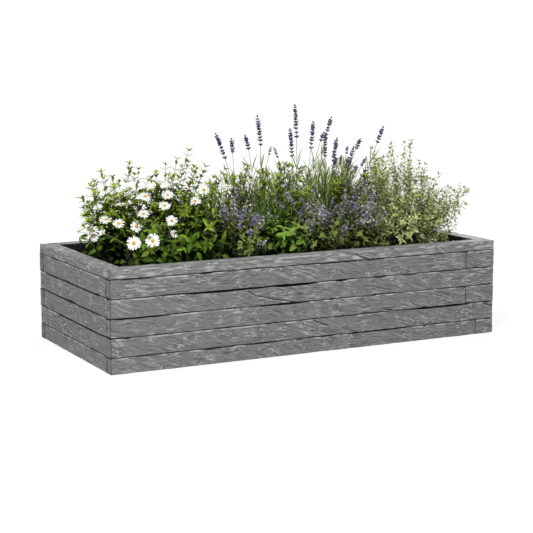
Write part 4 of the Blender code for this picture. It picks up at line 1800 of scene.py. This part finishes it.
@dataclass
class LavenderPlant(Plant):
    """Lavender: a tussock of narrow grey-green blades, and long bare stems with a violet spike."""

    stem: ClassVar[Finish] = Finishes.lavender_stem
    spikes: tuple[Spike, ...]
    leafy: tuple[Point, ...] = ()
    stems: int = 74
    group: int = 8
    knee_height: float = 0.56

    def build(self) -> None:
        """Grows the tussock and sets the spikes."""
        growth = Growth(self)
        blade = Blade(78 * MM, 5.6 * MM, 3, 0.45, 0.6, 0.25, 0.35).stencil(Finishes.lavender_leaf)
        habit = Foliage(blade, 0.25, 1.0, 25 * MM, 2, (0.75, 0.34), (0.8, 1.0, 0.8), (0.0, 0.9), 0.3)
        low = Shoot(habit, Tuft(blade, 4, 0.28, 0.85, 0.75), 0.05, 0.55, 0.5)
        growth.shoots(low, growth.tips(self.stems, 0.55, -0.22))
        for spike in self.spikes:
            run = self.stalk(spike)
            growth.stem(run, 1.9 * MM, 9, 0.8)
            bare = 1 - (spike.span().length + 0.10) / run.length()
            growth.leaves(run, Foliage(blade, 0.25, bare, 34 * MM, 2, (0.5, 0.35), (1.0, 1.1, 1.1), (0.3, 0.6), 0.12))
        bright = Blade(30 * MM, 10 * MM, 3, 0.42, 0.85, 0.8, 0.35).stencil(Finishes.young_leaf)
        habit = Foliage(bright, 0.35, 0.98, 20 * MM, 2, (1.1, 0.75), (1.1, 1.0, 0.75), (-0.2, 0.7), 0.3)
        leafy = Shoot(habit, Tuft(bright, 5, 0.7, 0.9, 0.75), 0.05, 0.6, 0.5, 1.2 * MM, 6)
        growth.shoots(leafy, growth.together(self.leafy, self.group, 0.03, (0.2, 2.2)))
        settle(growth.cluster.build("foliage_of_" + self.name), "lavender_foliage", self.name)
        self.build_spikes()

    def stalk(self, spike: Spike) -> Run:
        """Lays a flower stem, which ends along its spike.

        Args:
            spike: The flower spike.

        Returns:
            The stem's line.
        """
        tip, down = spike.tip(), spike.span().normalized()
        knee = tip + down * ((tip.z - self.knee_height) / max(0.5, -down.z)) * 0.8
        root = Vector((*self.mound.root, self.mound.ground))
        return Run(root.lerp(Vector((knee.x, knee.y, root.z)), 0.5), knee, tip)

    def build_spikes(self) -> None:
        """Models the flower spikes: whorls of buds, close above and apart below."""
        growth = Growth(self, FLOWERS)
        bud = Bead(10.5 * MM, 6.0 * MM).stencil(Finishes.lavender_bud)
        husk = Bead(10.5 * MM, 6.0 * MM).stencil(Finishes.lavender_husk)
        lip = Bead(6.0 * MM, 4.4 * MM, 4, 3).stencil(Finishes.lavender_flower)
        for spike in self.spikes:
            run = self.stalk(spike)
            length, total = spike.span().length, run.length()
            down, number = 3 * MM, 0
            while down < length:
                share, part = 1 - down / total, down / length
                origin, heading = run.at(share), run.heading(share)
                swell = spike.scale * (0.70 + 0.42 * min(1.0, part * 4.0) - 0.25 * max(0.0, part - 0.6))
                count = 5 if part < 0.12 else 7
                for k in range(count):
                    side = sideways(heading, 2 * math.pi * k / count + number * 0.5 + growth.around(0.3))
                    along = opened(heading, side, (0.85 if number else 0.3) + growth.around(0.22))
                    base = origin + side * 0.8 * MM + heading * growth.around(1.0 * MM)
                    size = swell * (1 + growth.around(0.18))
                    calyx = husk if growth.chance() < spike.faded else bud
                    growth.cluster.add(calyx, pose_along(base, along, heading, size), growth.chance())
                    if growth.chance() < 0.35:
                        end = base + along * 7 * MM * size
                        growth.cluster.add(lip, pose_along(end, along, heading, size), growth.chance())
                step = 10 * MM if part < 0.4 else 13 * MM if part < 0.7 else 18 * MM
                down += step * (1 + growth.around(0.22))
                number += 1
        settle(growth.cluster.build("spikes_of_" + self.name), "lavender_flower")


@dataclass
class CatmintPlant(Plant):
    """Catmint: small grey-green leaves and loose spires of violet and mauve flowers."""

    shoots: tuple[Point, ...]
    stems: int = 85
    low_stems: int = 6
    spire: float = 60 * MM
    bloom_share: float = 0.80

    def build(self) -> None:
        """Grows the foliage and the spires."""
        growth, bloom = Growth(self), Growth(self, FLOWERS)
        shapes = self.flower_shapes()
        leaf = Blade(25 * MM, 12 * MM, 2, 0.42, 0.7, 0.6, 0.3).stencil(Finishes.catmint_leaf)
        habit = Foliage(leaf, 0.72, 1.0, 18 * MM, 2, (1.2, 0.8), (0.8, 0.9, 0.6), (0.0, 0.8), 0.4, 0.5)
        low = Shoot(habit, Tuft(leaf, 4, 0.8, 0.7, 0.85), 0.03, 0.6, 0.8, 1.1 * MM, 4)
        growth.shoots(low, growth.front_tips(self.low_stems))
        habit = Foliage(leaf, 0.20, 0.96, 17 * MM, 2, (1.25, 0.8), (1.25, 1.0, 0.7), (0.0, 0.95), 0.35, 0.45)
        high, tuft = Shoot(habit, None, 0.035, radius=1.1 * MM), Tuft(leaf, 4, 0.7, 0.8, 0.5, 0.3)
        tips = growth.tips(self.stems, holes=-0.12) + [Vector(place) for place in self.shoots]
        for number, tip in enumerate(tips):
            run = growth.shoot(high, tip)
            height_share = min(1.0, (tip.z - 0.44) / 0.08)
            if number >= len(tips) - len(self.shoots) or growth.chance() < self.bloom_share * height_share:
                self.build_spire(bloom, shapes, run)
            else:
                growth.end(run, tuft)
        settle(growth.cluster.build("foliage_of_" + self.name), "catmint_foliage", self.name)
        settle(bloom.cluster.build("flowers_of_" + self.name), "catmint_flower")

    def flower_shapes(self) -> list[Stencil]:
        """Models the calyx, the violet lip, the pale lip and the small yellow flower.

        Returns:
            The repeated shapes.
        """
        lip = Blade(11.5 * MM, 9.5 * MM, 2, 0.6, 0.6, 0.9, -0.3)
        return [
            Bead(6.0 * MM, 3.2 * MM, 4, 3).stencil(Finishes.catmint_calyx),
            lip.stencil(Finishes.catmint_flower),
            lip.stencil(Finishes.catmint_pale),
            Blade(7.0 * MM, 6.0 * MM, 2, 0.6, 0.6, 0.6, 0.3).stencil(Finishes.yellow_petal),
        ]

    def build_spire(self, bloom: Growth, shapes: list[Stencil], run: Run) -> None:
        """Models one spire: whorls of calyxes with two-lipped flowers in some of them.

        Args:
            bloom: Where the flowers grow.
            shapes: The calyx, the two lips and the yellow flower.
            run: The stem's line.
        """
        calyx, violet, pale, yellow = shapes
        add, total = bloom.cluster.add, run.length()
        length = self.spire * bloom.rng.uniform(0.5, 1.3)
        # Flowers come in patches, some mostly violet and some mostly pale.
        bearing = 0.33 + 0.65 * noise.noise(run.tip / 0.045)
        mostly = pale if bloom.chance() < 0.62 - 1.2 * noise.noise(run.tip / 0.06) else violet
        down = 1 * MM
        while down < min(length, total * 0.8):
            share = 1 - down / total
            origin, heading = run.at(share), run.heading(share)
            phase = bloom.around(math.pi)
            for k in range(4):
                side = sideways(heading, phase + math.pi / 2 * k + bloom.around(0.3))
                along = opened(heading, side, 0.9 + bloom.around(0.25))
                add(calyx, pose_along(origin, along, heading), bloom.chance())
                if bloom.chance() < bearing:
                    end = origin + along * 5 * MM
                    lip = mostly if bloom.chance() < 0.85 else (violet if mostly is pale else pale)
                    out = along + UP * bloom.around(0.3)
                    size = bloom.rng.uniform(0.75, 1.2)
                    add(lip, pose_along(end, out, heading, size), bloom.chance())
                    add(lip, pose_along(end, heading * 0.9 + side * 0.45, side, size * 0.7), bloom.chance())
            if bloom.chance() < 0.02:
                across = heading.orthogonal().normalized()
                add(yellow, pose_along(origin + across * 6 * MM, across, heading, 1.5), 0.5)
            down += 10 * MM * (1 + bloom.around(0.3))


@dataclass
class MintPlant(Plant):
    """Mint: bright ovate leaves in crossed pairs, with finer young growth behind."""

    shoots: tuple[Point, ...]
    stems: int = 28
    fine_stems: int = 7

    def build(self) -> None:
        """Grows the plant."""
        growth = Growth(self)
        leaf = Blade(54 * MM, 25 * MM, 4, 0.42, 0.75, 1.2, 0.35, 4 * MM).stencil(Finishes.mint_leaf)
        fine = Blade(26 * MM, 5.5 * MM, 2, 0.45, 0.7, 0.4, 0.3).stencil(Finishes.mint_leaf)
        habit = Foliage(leaf, 0.35, 1.0, 32 * MM, 2, (1.25, 0.7), (0.8, 1.0, 0.6), (-0.2, 0.85), 0.3)
        broad = Shoot(habit, Tuft(leaf, 4, 0.9, 0.45, 0.9), 0.03, 0.5, 0.6)
        growth.shoots(broad, growth.tips(self.stems))
        habit = Foliage(fine, 0.35, 1.0, 11 * MM, 3, (1.15, 0.7), (0.9, 1.0, 0.6), (0.0, 0.9), 0.45)
        feathery = Shoot(habit, None, 0.03, radius=1.0 * MM)
        for place in self.shoots:
            for _ in range(self.fine_stems):
                off = Vector((growth.around(0.05), growth.around(0.05), growth.around(0.04)))
                growth.shoot(feathery, Vector(place) + off)
        settle(growth.cluster.build("foliage_of_" + self.name), "mint_foliage", self.name)


@dataclass
class ThymePlant(Plant):
    """Variegated thyme: wiry fanned stems with side sprigs and tiny cream-edged leaves."""

    stem: ClassVar[Finish] = Finishes.thyme_stem
    shoots: tuple[Point, ...]
    stems: int = 74
    low_stems: int = 7
    group: int = 4
    side_sprigs: int = 2

    def build(self) -> None:
        """Grows the plant."""
        growth = Growth(self)
        leaf = Blade(23 * MM, 7.4 * MM, 2, 0.5, 0.6, 0.5, 0.30).stencil(Finishes.thyme_leaf)
        full = Foliage(leaf, 0.14, 1.0, 17 * MM, 2, (1.05, 0.65), (1.15, 1.05, 0.85), (-0.1, 0.95), 0.4, 0.60)
        hanging = Foliage(leaf, 0.6, 1.0, 17 * MM, 2, (1.1, 0.8), (1.1, 1.2, 1.0), (0.2, 0.95), 0.4, 0.5)
        airy = Foliage(leaf, 0.22, 1.0, 19 * MM, 3, (1.15, 0.85), (0.9, 1.05, 1.05), (0.0, 0.85), 0.35, 0.5)
        for tip in growth.tips(self.stems, 0.50, -0.22):
            self.grow_stem(growth, tip, full, 0.5, 0.6)
        for tip in growth.front_tips(self.low_stems):
            self.grow_stem(growth, tip, hanging, 0.6, 0.8)
        for tip in growth.together(self.shoots, self.group, 0.035, (0.2, 2.5)):
            self.grow_stem(growth, tip, airy, 0.5, 0.55)
        settle(growth.cluster.build("foliage_of_" + self.name), "thyme_foliage", self.name)

    def grow_stem(self, growth: Growth, tip: Vector, habit: Foliage, outward: float, lift: float) -> None:
        """Grows a stem with its leaves and its side sprigs.

        Args:
            growth: The plant's growth.
            tip: Where it ends.
            habit: How the leaves sit.
            outward: Share of the sideways travel that is made at the stem's knee.
            lift: Share of the rise that is made there.
        """
        leaf = habit.leaf
        run = growth.shoot(Shoot(habit, Tuft(leaf, 4, 0.8, 0.85, 0.5, 0.4), 0.06, outward, lift, steps=6), tip)
        small = Foliage(leaf, 0.25, 1.0, 13 * MM, 2, (1.0, 0.7), (0.7, 0.9, 0.7), (0.1, 0.9), 0.4, 0.5)
        for _ in range(self.side_sprigs):
            share = growth.rng.uniform(0.4, 0.85)
            origin, heading = run.at(share), run.heading(share)
            side = sideways(heading, growth.around(math.pi))
            reach = growth.rng.uniform(0.035, 0.07)
            knee, end = (heading * 0.35 + side * 0.45) * reach, (heading * 0.85 + side * 0.6) * reach
            sprig = Run(origin, origin + knee, origin + end)
            growth.stem(sprig, 0.7 * MM, 2)
            growth.leaves(sprig, small)


def rows(kind: type, values: Iterable[tuple]) -> tuple:
    """Makes one thing of a kind from each row of values."""
    return tuple(kind(*row) for row in values)


def planting() -> Iterator[Plant]:
    """Lists the plants.

    Yields:
        Each plant, with where it roots, the dome of its leaves, and its tall shoots and flowers.
    """
    outwards = (-0.35, -0.85, 0.35)
    half_open = (-0.3, -0.45, 0.8)
    yield DaisyPlant(
        "daisy_plant_left", Mound((-0.63, 0.13), (-0.748, 0.0), (-0.535, 0.305), 0.6), 11,
        rows(DaisyHead, (
            ((-0.76, 0.071, 0.488),), ((-0.72, 0.031, 0.533), (-0.3, -0.35, 0.85)), ((-0.535, 0.061, 0.614),),
            ((-0.593, 0.081, 0.649), half_open, 1.15, 0.85), ((-0.654, 0.031, 0.592), (-0.1, -0.05, 0.95), 0.9),
            ((-0.758, 0.061, 0.46), (-0.7, -0.3, 0.3), 0.8), ((-0.733, 0.081, 0.572), half_open, 0.9, 0.9),
            ((-0.8, 0.131, 0.479), (-0.5, -0.4, 0.7), 0.7, 0.9),
        )),
        (
            (-0.697, 0.13, 0.71), (-0.736, 0.1, 0.675), (-0.64, 0.15, 0.685), (-0.575, 0.13, 0.737),
            (-0.547, 0.1, 0.718), (-0.771, 0.15, 0.604), (-0.751, 0.1, 0.577), (-0.788, 0.05, 0.524),
            (-0.67, 0.06, 0.65), (-0.61, 0.04, 0.66),
        ),
        stems=44, broad_stems=16,
    )
    yield DaisyPlant(
        "daisy_plant_front", Mound((-0.6, -0.17), (-0.725, -0.315), (-0.47, 0.015), 0.545), 12,
        rows(DaisyHead, (
            ((-0.731, -0.289, 0.478), outwards, 1.1), ((-0.653, -0.289, 0.482), outwards, 1.1),
            ((-0.685, -0.019, 0.52), (-0.25, -0.55, 0.75)), ((-0.649, -0.119, 0.518), (-0.3, -0.75, 0.55)),
            ((-0.598, -0.069, 0.56),), ((-0.531, -0.219, 0.493), (0.2, -0.75, 0.5), 0.72),
            ((-0.507, -0.139, 0.534), (-0.3, -0.75, 0.55)),
            ((-0.755, -0.019, 0.486), (-0.6, -0.2, 0.6), 0.7, 0.5),
        )),
        stems=46, broad_stems=24, holes=-0.2, tones=(-0.4, 0.5),
    )
    yield DaisyPlant(
        "daisy_plant_back", Mound((-0.42, 0.17), (-0.56, 0.02), (-0.255, 0.305), 0.625), 13,
        rows(DaisyHead, (
            ((-0.518, 0.041, 0.644), half_open, 1.05, 0.9), ((-0.459, 0.031, 0.647), half_open, 1.05, 0.9),
            ((-0.354, 0.031, 0.637), (-0.1, -0.05, 0.95), 1.0),
            ((-0.3, 0.001, 0.634), (-0.2, -0.8, 0.55), 1.05), ((-0.177, 0.031, 0.64), (-0.1, -0.3, 0.9)),
        )),
        (
            (-0.469, 0.1, 0.7), (-0.418, 0.12, 0.729), (-0.384, 0.08, 0.755), (-0.314, 0.12, 0.785),
            (-0.297, 0.08, 0.71), (-0.239, 0.12, 0.715), (-0.236, 0.05, 0.675), (-0.15, 0.12, 0.7),
        ),
    )
    yield DaisyPlant(
        "daisy_plant_right", Mound((-0.38, -0.13), (-0.48, -0.315), (-0.292, 0.035), 0.59), 14,
        rows(DaisyHead, (
            ((-0.471, -0.019, 0.624),), ((-0.498, -0.049, 0.585),), ((-0.373, -0.069, 0.599),),
            ((-0.425, -0.019, 0.598), (0.4, -0.3, 0.7), 0.6, 0.6),
        )),
        ((-0.4, -0.05, 0.64), (-0.32, -0.08, 0.63), (-0.29, -0.04, 0.65), (-0.35, 0.0, 0.655)),
        stems=44, leaf_size=(68 * MM, 21 * MM), leaf_gap=40 * MM, broad_stems=15, holes=-0.1, tones=(-0.5, 0.42),
    )
    yield LavenderPlant(
        "lavender_plant_left", Mound((-0.11, 0.15), (-0.275, 0.01), (0.035, 0.3), 0.615), 21,
        rows(Spike, (
            (-0.198, 0.1, 0.854, -0.141, 0.739), (-0.09, 0.17, 0.824, -0.082, 0.748),
            (-0.084, 0.05, 0.844, -0.064, 0.778), (0.009, 0.12, 0.921, 0.031, 0.788),
        )),
        ((-0.075, 0.08, 0.72), (-0.13, 0.06, 0.67), (0.0, 0.06, 0.7), (-0.02, 0.02, 0.65)),
    )
    yield LavenderPlant(
        "lavender_plant_middle", Mound((0.14, 0.14), (0.015, 0.005), (0.272, 0.3), 0.635), 22,
        rows(Spike, (
            (0.037, 0.05, 0.795, 0.021, 0.75, 0.65), (0.05, 0.05, 0.792, 0.076, 0.738, 0.65),
            (0.182, 0.15, 0.86, 0.199, 0.722), (0.124, 0.0, 0.971, 0.135, 0.833),
            (0.263, 0.09, 0.892, 0.253, 0.763),
        )),
        ((0.11, 0.06, 0.72), (0.06, 0.02, 0.67), (0.19, 0.04, 0.7), (0.15, 0.0, 0.65)),
    )
    yield LavenderPlant(
        "lavender_plant_right", Mound((0.38, 0.15), (0.255, 0.005), (0.54, 0.3), 0.665), 23,
        rows(Spike, (
            (0.329, 0.05, 0.912, 0.302, 0.837), (0.301, 0.05, 0.844, 0.297, 0.724),
            (0.355, 0.16, 0.839, 0.334, 0.793), (0.334, 0.01, 0.822, 0.309, 0.699),
            (0.501, 0.2, 0.769, 0.493, 0.728, 0.8, 0.4), (0.506, 0.1, 0.808, 0.481, 0.763),
            (0.487, 0.02, 0.734, 0.448, 0.68, 0.75), (0.592, 0.05, 0.862, 0.56, 0.789),
            (0.443, 0.05, 0.785, 0.408, 0.665, 0.8, 0.6), (0.358, 0.05, 0.734, 0.333, 0.685, 0.8, 0.3),
            (0.337, 0.02, 0.739, 0.313, 0.68, 0.7, 0.5), (0.421, 0.06, 0.733, 0.407, 0.672, 0.7, 0.8),
            (0.316, 0.0, 0.69, 0.302, 0.64, 0.7, 0.7), (0.387, 0.0, 0.651, 0.372, 0.592, 0.7, 0.6),
            (0.398, 0.08, 0.742, 0.386, 0.68, 0.7, 0.9), (0.455, 0.04, 0.7, 0.43, 0.64, 0.7, 0.7),
        )),
        ((0.33, 0.02, 0.65), (0.47, 0.12, 0.72), (0.4, 0.06, 0.68), (0.498, 0.05, 0.67)),
        stems=92,
    )
    yield CatmintPlant(
        "catmint_plant_left", Mound((-0.21, -0.16), (-0.315, -0.315), (-0.112, 0.025), 0.575), 31,
        ((-0.235, -0.14, 0.61), (-0.185, -0.06, 0.64), (-0.15, -0.16, 0.6)),
    )
    yield CatmintPlant(
        "catmint_plant_middle", Mound((0.155, -0.16), (0.048, -0.315), (0.268, 0.015), 0.55), 32,
        (
            (0.09, -0.13, 0.59), (0.16, -0.08, 0.61), (0.23, -0.14, 0.585), (-0.029, -0.12, 0.586),
            (0.06, -0.12, 0.644), (0.022, -0.12, 0.612), (-0.038, -0.12, 0.524),
        ),
    )
    yield CatmintPlant(
        "catmint_plant_right", Mound((0.35, -0.16), (0.258, -0.315), (0.455, 0.015), 0.565), 33,
        (
            (0.3, -0.12, 0.61), (0.38, -0.08, 0.62), (0.42, -0.16, 0.6), (0.26, -0.16, 0.59),
            (0.33, -0.18, 0.58), (0.37, -0.2, 0.56), (0.3, -0.22, 0.56), (0.4, -0.12, 0.64),
        ),
        bloom_share=0.95,
    )
    yield MintPlant(
        "mint_plant", Mound((-0.045, -0.18), (-0.122, -0.315), (0.06, 0.01), 0.5), 41,
        ((-0.08, -0.1, 0.56), (0.01, -0.07, 0.575), (-0.03, -0.02, 0.6)),
    )
    yield ThymePlant(
        "thyme_plant_back", Mound((0.6, 0.14), (0.49, 0.0), (0.745, 0.29), 0.615), 51,
        (
            (0.56, 0.08, 0.74), (0.64, 0.12, 0.72), (0.7, 0.16, 0.66), (0.621, 0.05, 0.727),
            (0.546, 0.02, 0.715),
        ),
    )
    yield ThymePlant(
        "thyme_plant_front", Mound((0.58, -0.16), (0.44, -0.315), (0.72, 0.01), 0.63), 52,
        (
            (0.511, 0.0, 0.773), (0.54, -0.1, 0.796), (0.642, -0.1, 0.81), (0.719, -0.1, 0.703),
            (0.754, -0.15, 0.662), (0.805, -0.15, 0.603), (0.85, -0.2, 0.607), (0.816, -0.2, 0.541),
            (0.745, -0.23, 0.5), (0.729, -0.2, 0.594), (0.651, -0.02, 0.738), (0.688, -0.02, 0.71),
            (0.675, -0.1, 0.683), (0.609, -0.05, 0.682), (0.48, -0.08, 0.7), (0.69, -0.27, 0.47),
            (0.772, -0.19, 0.53), (0.74, -0.25, 0.54), (0.684, -0.15, 0.643), (0.711, -0.15, 0.599),
            (0.7, -0.18, 0.545), (0.725, -0.12, 0.56),
        ),
    )


# ---------------- studio


@dataclass(frozen=True)
class Lamp:
    """A round area lamp: its place, its width across and its power in watts."""

    name: str
    place: Point
    size: float
    power: float


@dataclass(frozen=True)
class Studio:
    """Plain pale studio: a floor that keeps the shadow, even light, and the camera."""

    target: Point = (-0.002, 0.017, 0.292)
    eye: Point = (-2.7759, -5.2935, 1.2364)
    lens: float = 96.53
    sky: float = 0.27  # strength of the world as light, while the camera sees it white
    floor_glow: float = 0.85
    floor_size: float = 60.0
    shadow_reach: float = 1.8
    lamps: tuple[Lamp, ...] = (
        Lamp("key_lamp", (-2.7, -3.4, 4.7), 0.9, 335.0),
        Lamp("fill_lamp", (2.6, -4.0, 3.2), 2.6, 30.0),
        Lamp("rear_lamp", (2.9, 3.6, 2.7), 3.0, 150.0),
    )

    def build(self) -> None:
        """Builds the floor, the world, the lamps and the camera."""
        self.build_floor()
        self.build_world()
        for lamp in self.lamps:
            light = bpy.data.lights.new(lamp.name, "AREA")
            light.shape, light.size, light.energy = "DISK", lamp.size, lamp.power
            self.aim(placed_object(lamp.name, light), lamp.place)
        camera = bpy.data.cameras.new("camera")
        camera.lens, camera.sensor_width = self.lens, 36.0
        camera.clip_start, camera.clip_end = 0.05, 200.0
        bpy.context.scene.camera = placed_object("camera", camera)
        self.aim(bpy.context.scene.camera, self.eye)

    def aim(self, thing: Object, place: Point) -> None:
        """Places a lamp or the camera so that it looks at the middle of the bed."""
        thing.location = place
        thing.rotation_euler = (Vector(self.target) - Vector(place)).to_track_quat("-Z", "Y").to_euler()

    @staticmethod
    def seen(tree: NodeTree) -> Socket:
        """Tells rays that a viewer sees from those that only carry light.

        Args:
            tree: Node tree that asks.

        Returns:
            1 for a ray from the camera, a mirror or glass, and 0 for others.
        """
        rays = add_node(tree, "LightPath").node.outputs
        seen = rays["Is Camera Ray"]
        for kind in ("Is Glossy Ray", "Is Transmission Ray"):
            seen = add_node(tree, "Math", {"operation": "MAXIMUM"}, {0: seen, 1: rays[kind]})
        return seen

    def build_floor(self) -> None:
        """Lays the floor, which shows white to the camera and still takes the bed's shadow."""
        bm = bmesh.new()
        bmesh.ops.create_grid(bm, x_segments=2, y_segments=2, size=self.floor_size)
        mesh = bpy.data.meshes.new("studio_floor")
        bm.to_mesh(mesh)
        bm.free()
        paint = Paint("studio_paper", "#e6e6e6", 0.9, 0.0)
        paint.shader.inputs["Base Color"].default_value = linear("#e6e6e6")
        place = paint.add("TexCoord", output="Object")
        away = paint.add("VectorMath", {"operation": "LENGTH"}, {0: place}, "Value")
        ramp = smooth(self.shadow_reach, self.shadow_reach * 1.6, self.floor_glow, 1.0)
        glow_share = paint.add("MapRange", ramp, {0: away})
        share = paint.add("Math", TIMES, {0: self.seen(paint.tree), 1: glow_share})
        glow = paint.add("Emission", {"Color": (1.0, 1.0, 1.0, 1.0), "Strength": 1.04})
        both = paint.add("MixShader", links={0: share, 1: paint.shader.outputs[0], 2: glow})
        paint.tree.links.new(both, paint.tree.nodes["Material Output"].inputs[0])
        mesh.materials.append(paint.material)
        floor = placed_object("studio_floor", mesh)

    def build_world(self) -> None:
        """Sets a world that the camera sees white and that lights the bed less."""
        world = bpy.data.worlds.new("studio_world")
        bpy.context.scene.world = world
        world.use_nodes = True
        tree = world.node_tree
        level = add_node(tree, "MapRange", {1: 0.0, 2: 1.0, 3: self.sky, 4: 1.0}, {0: self.seen(tree)})
        background = tree.nodes["Background"]
        background.inputs["Color"].default_value = (1.0, 1.0, 1.0, 1.0)
        tree.links.new(level, background.inputs["Strength"])


def main() -> None:
    """Builds the dressed bed in order and reports each piece."""
    logging.basicConfig(level=logging.INFO, format="%(message)s")
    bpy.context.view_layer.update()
    bpy.context.scene.view_settings.view_transform = "Standard"
    Studio().build()
    dress_kept_solids(frame["nodes"])
    SlateWall(frame["nodes"]).build()
    CompostBed().build()
    plants = list(planting())
    heads = tuple(head for plant in plants if isinstance(plant, DaisyPlant) for head in plant.heads)
    for plant in plants:
        if isinstance(plant, DaisyPlant):
            plant.near_heads = heads
        plant.build()


if __name__ == "__main__":
    main()
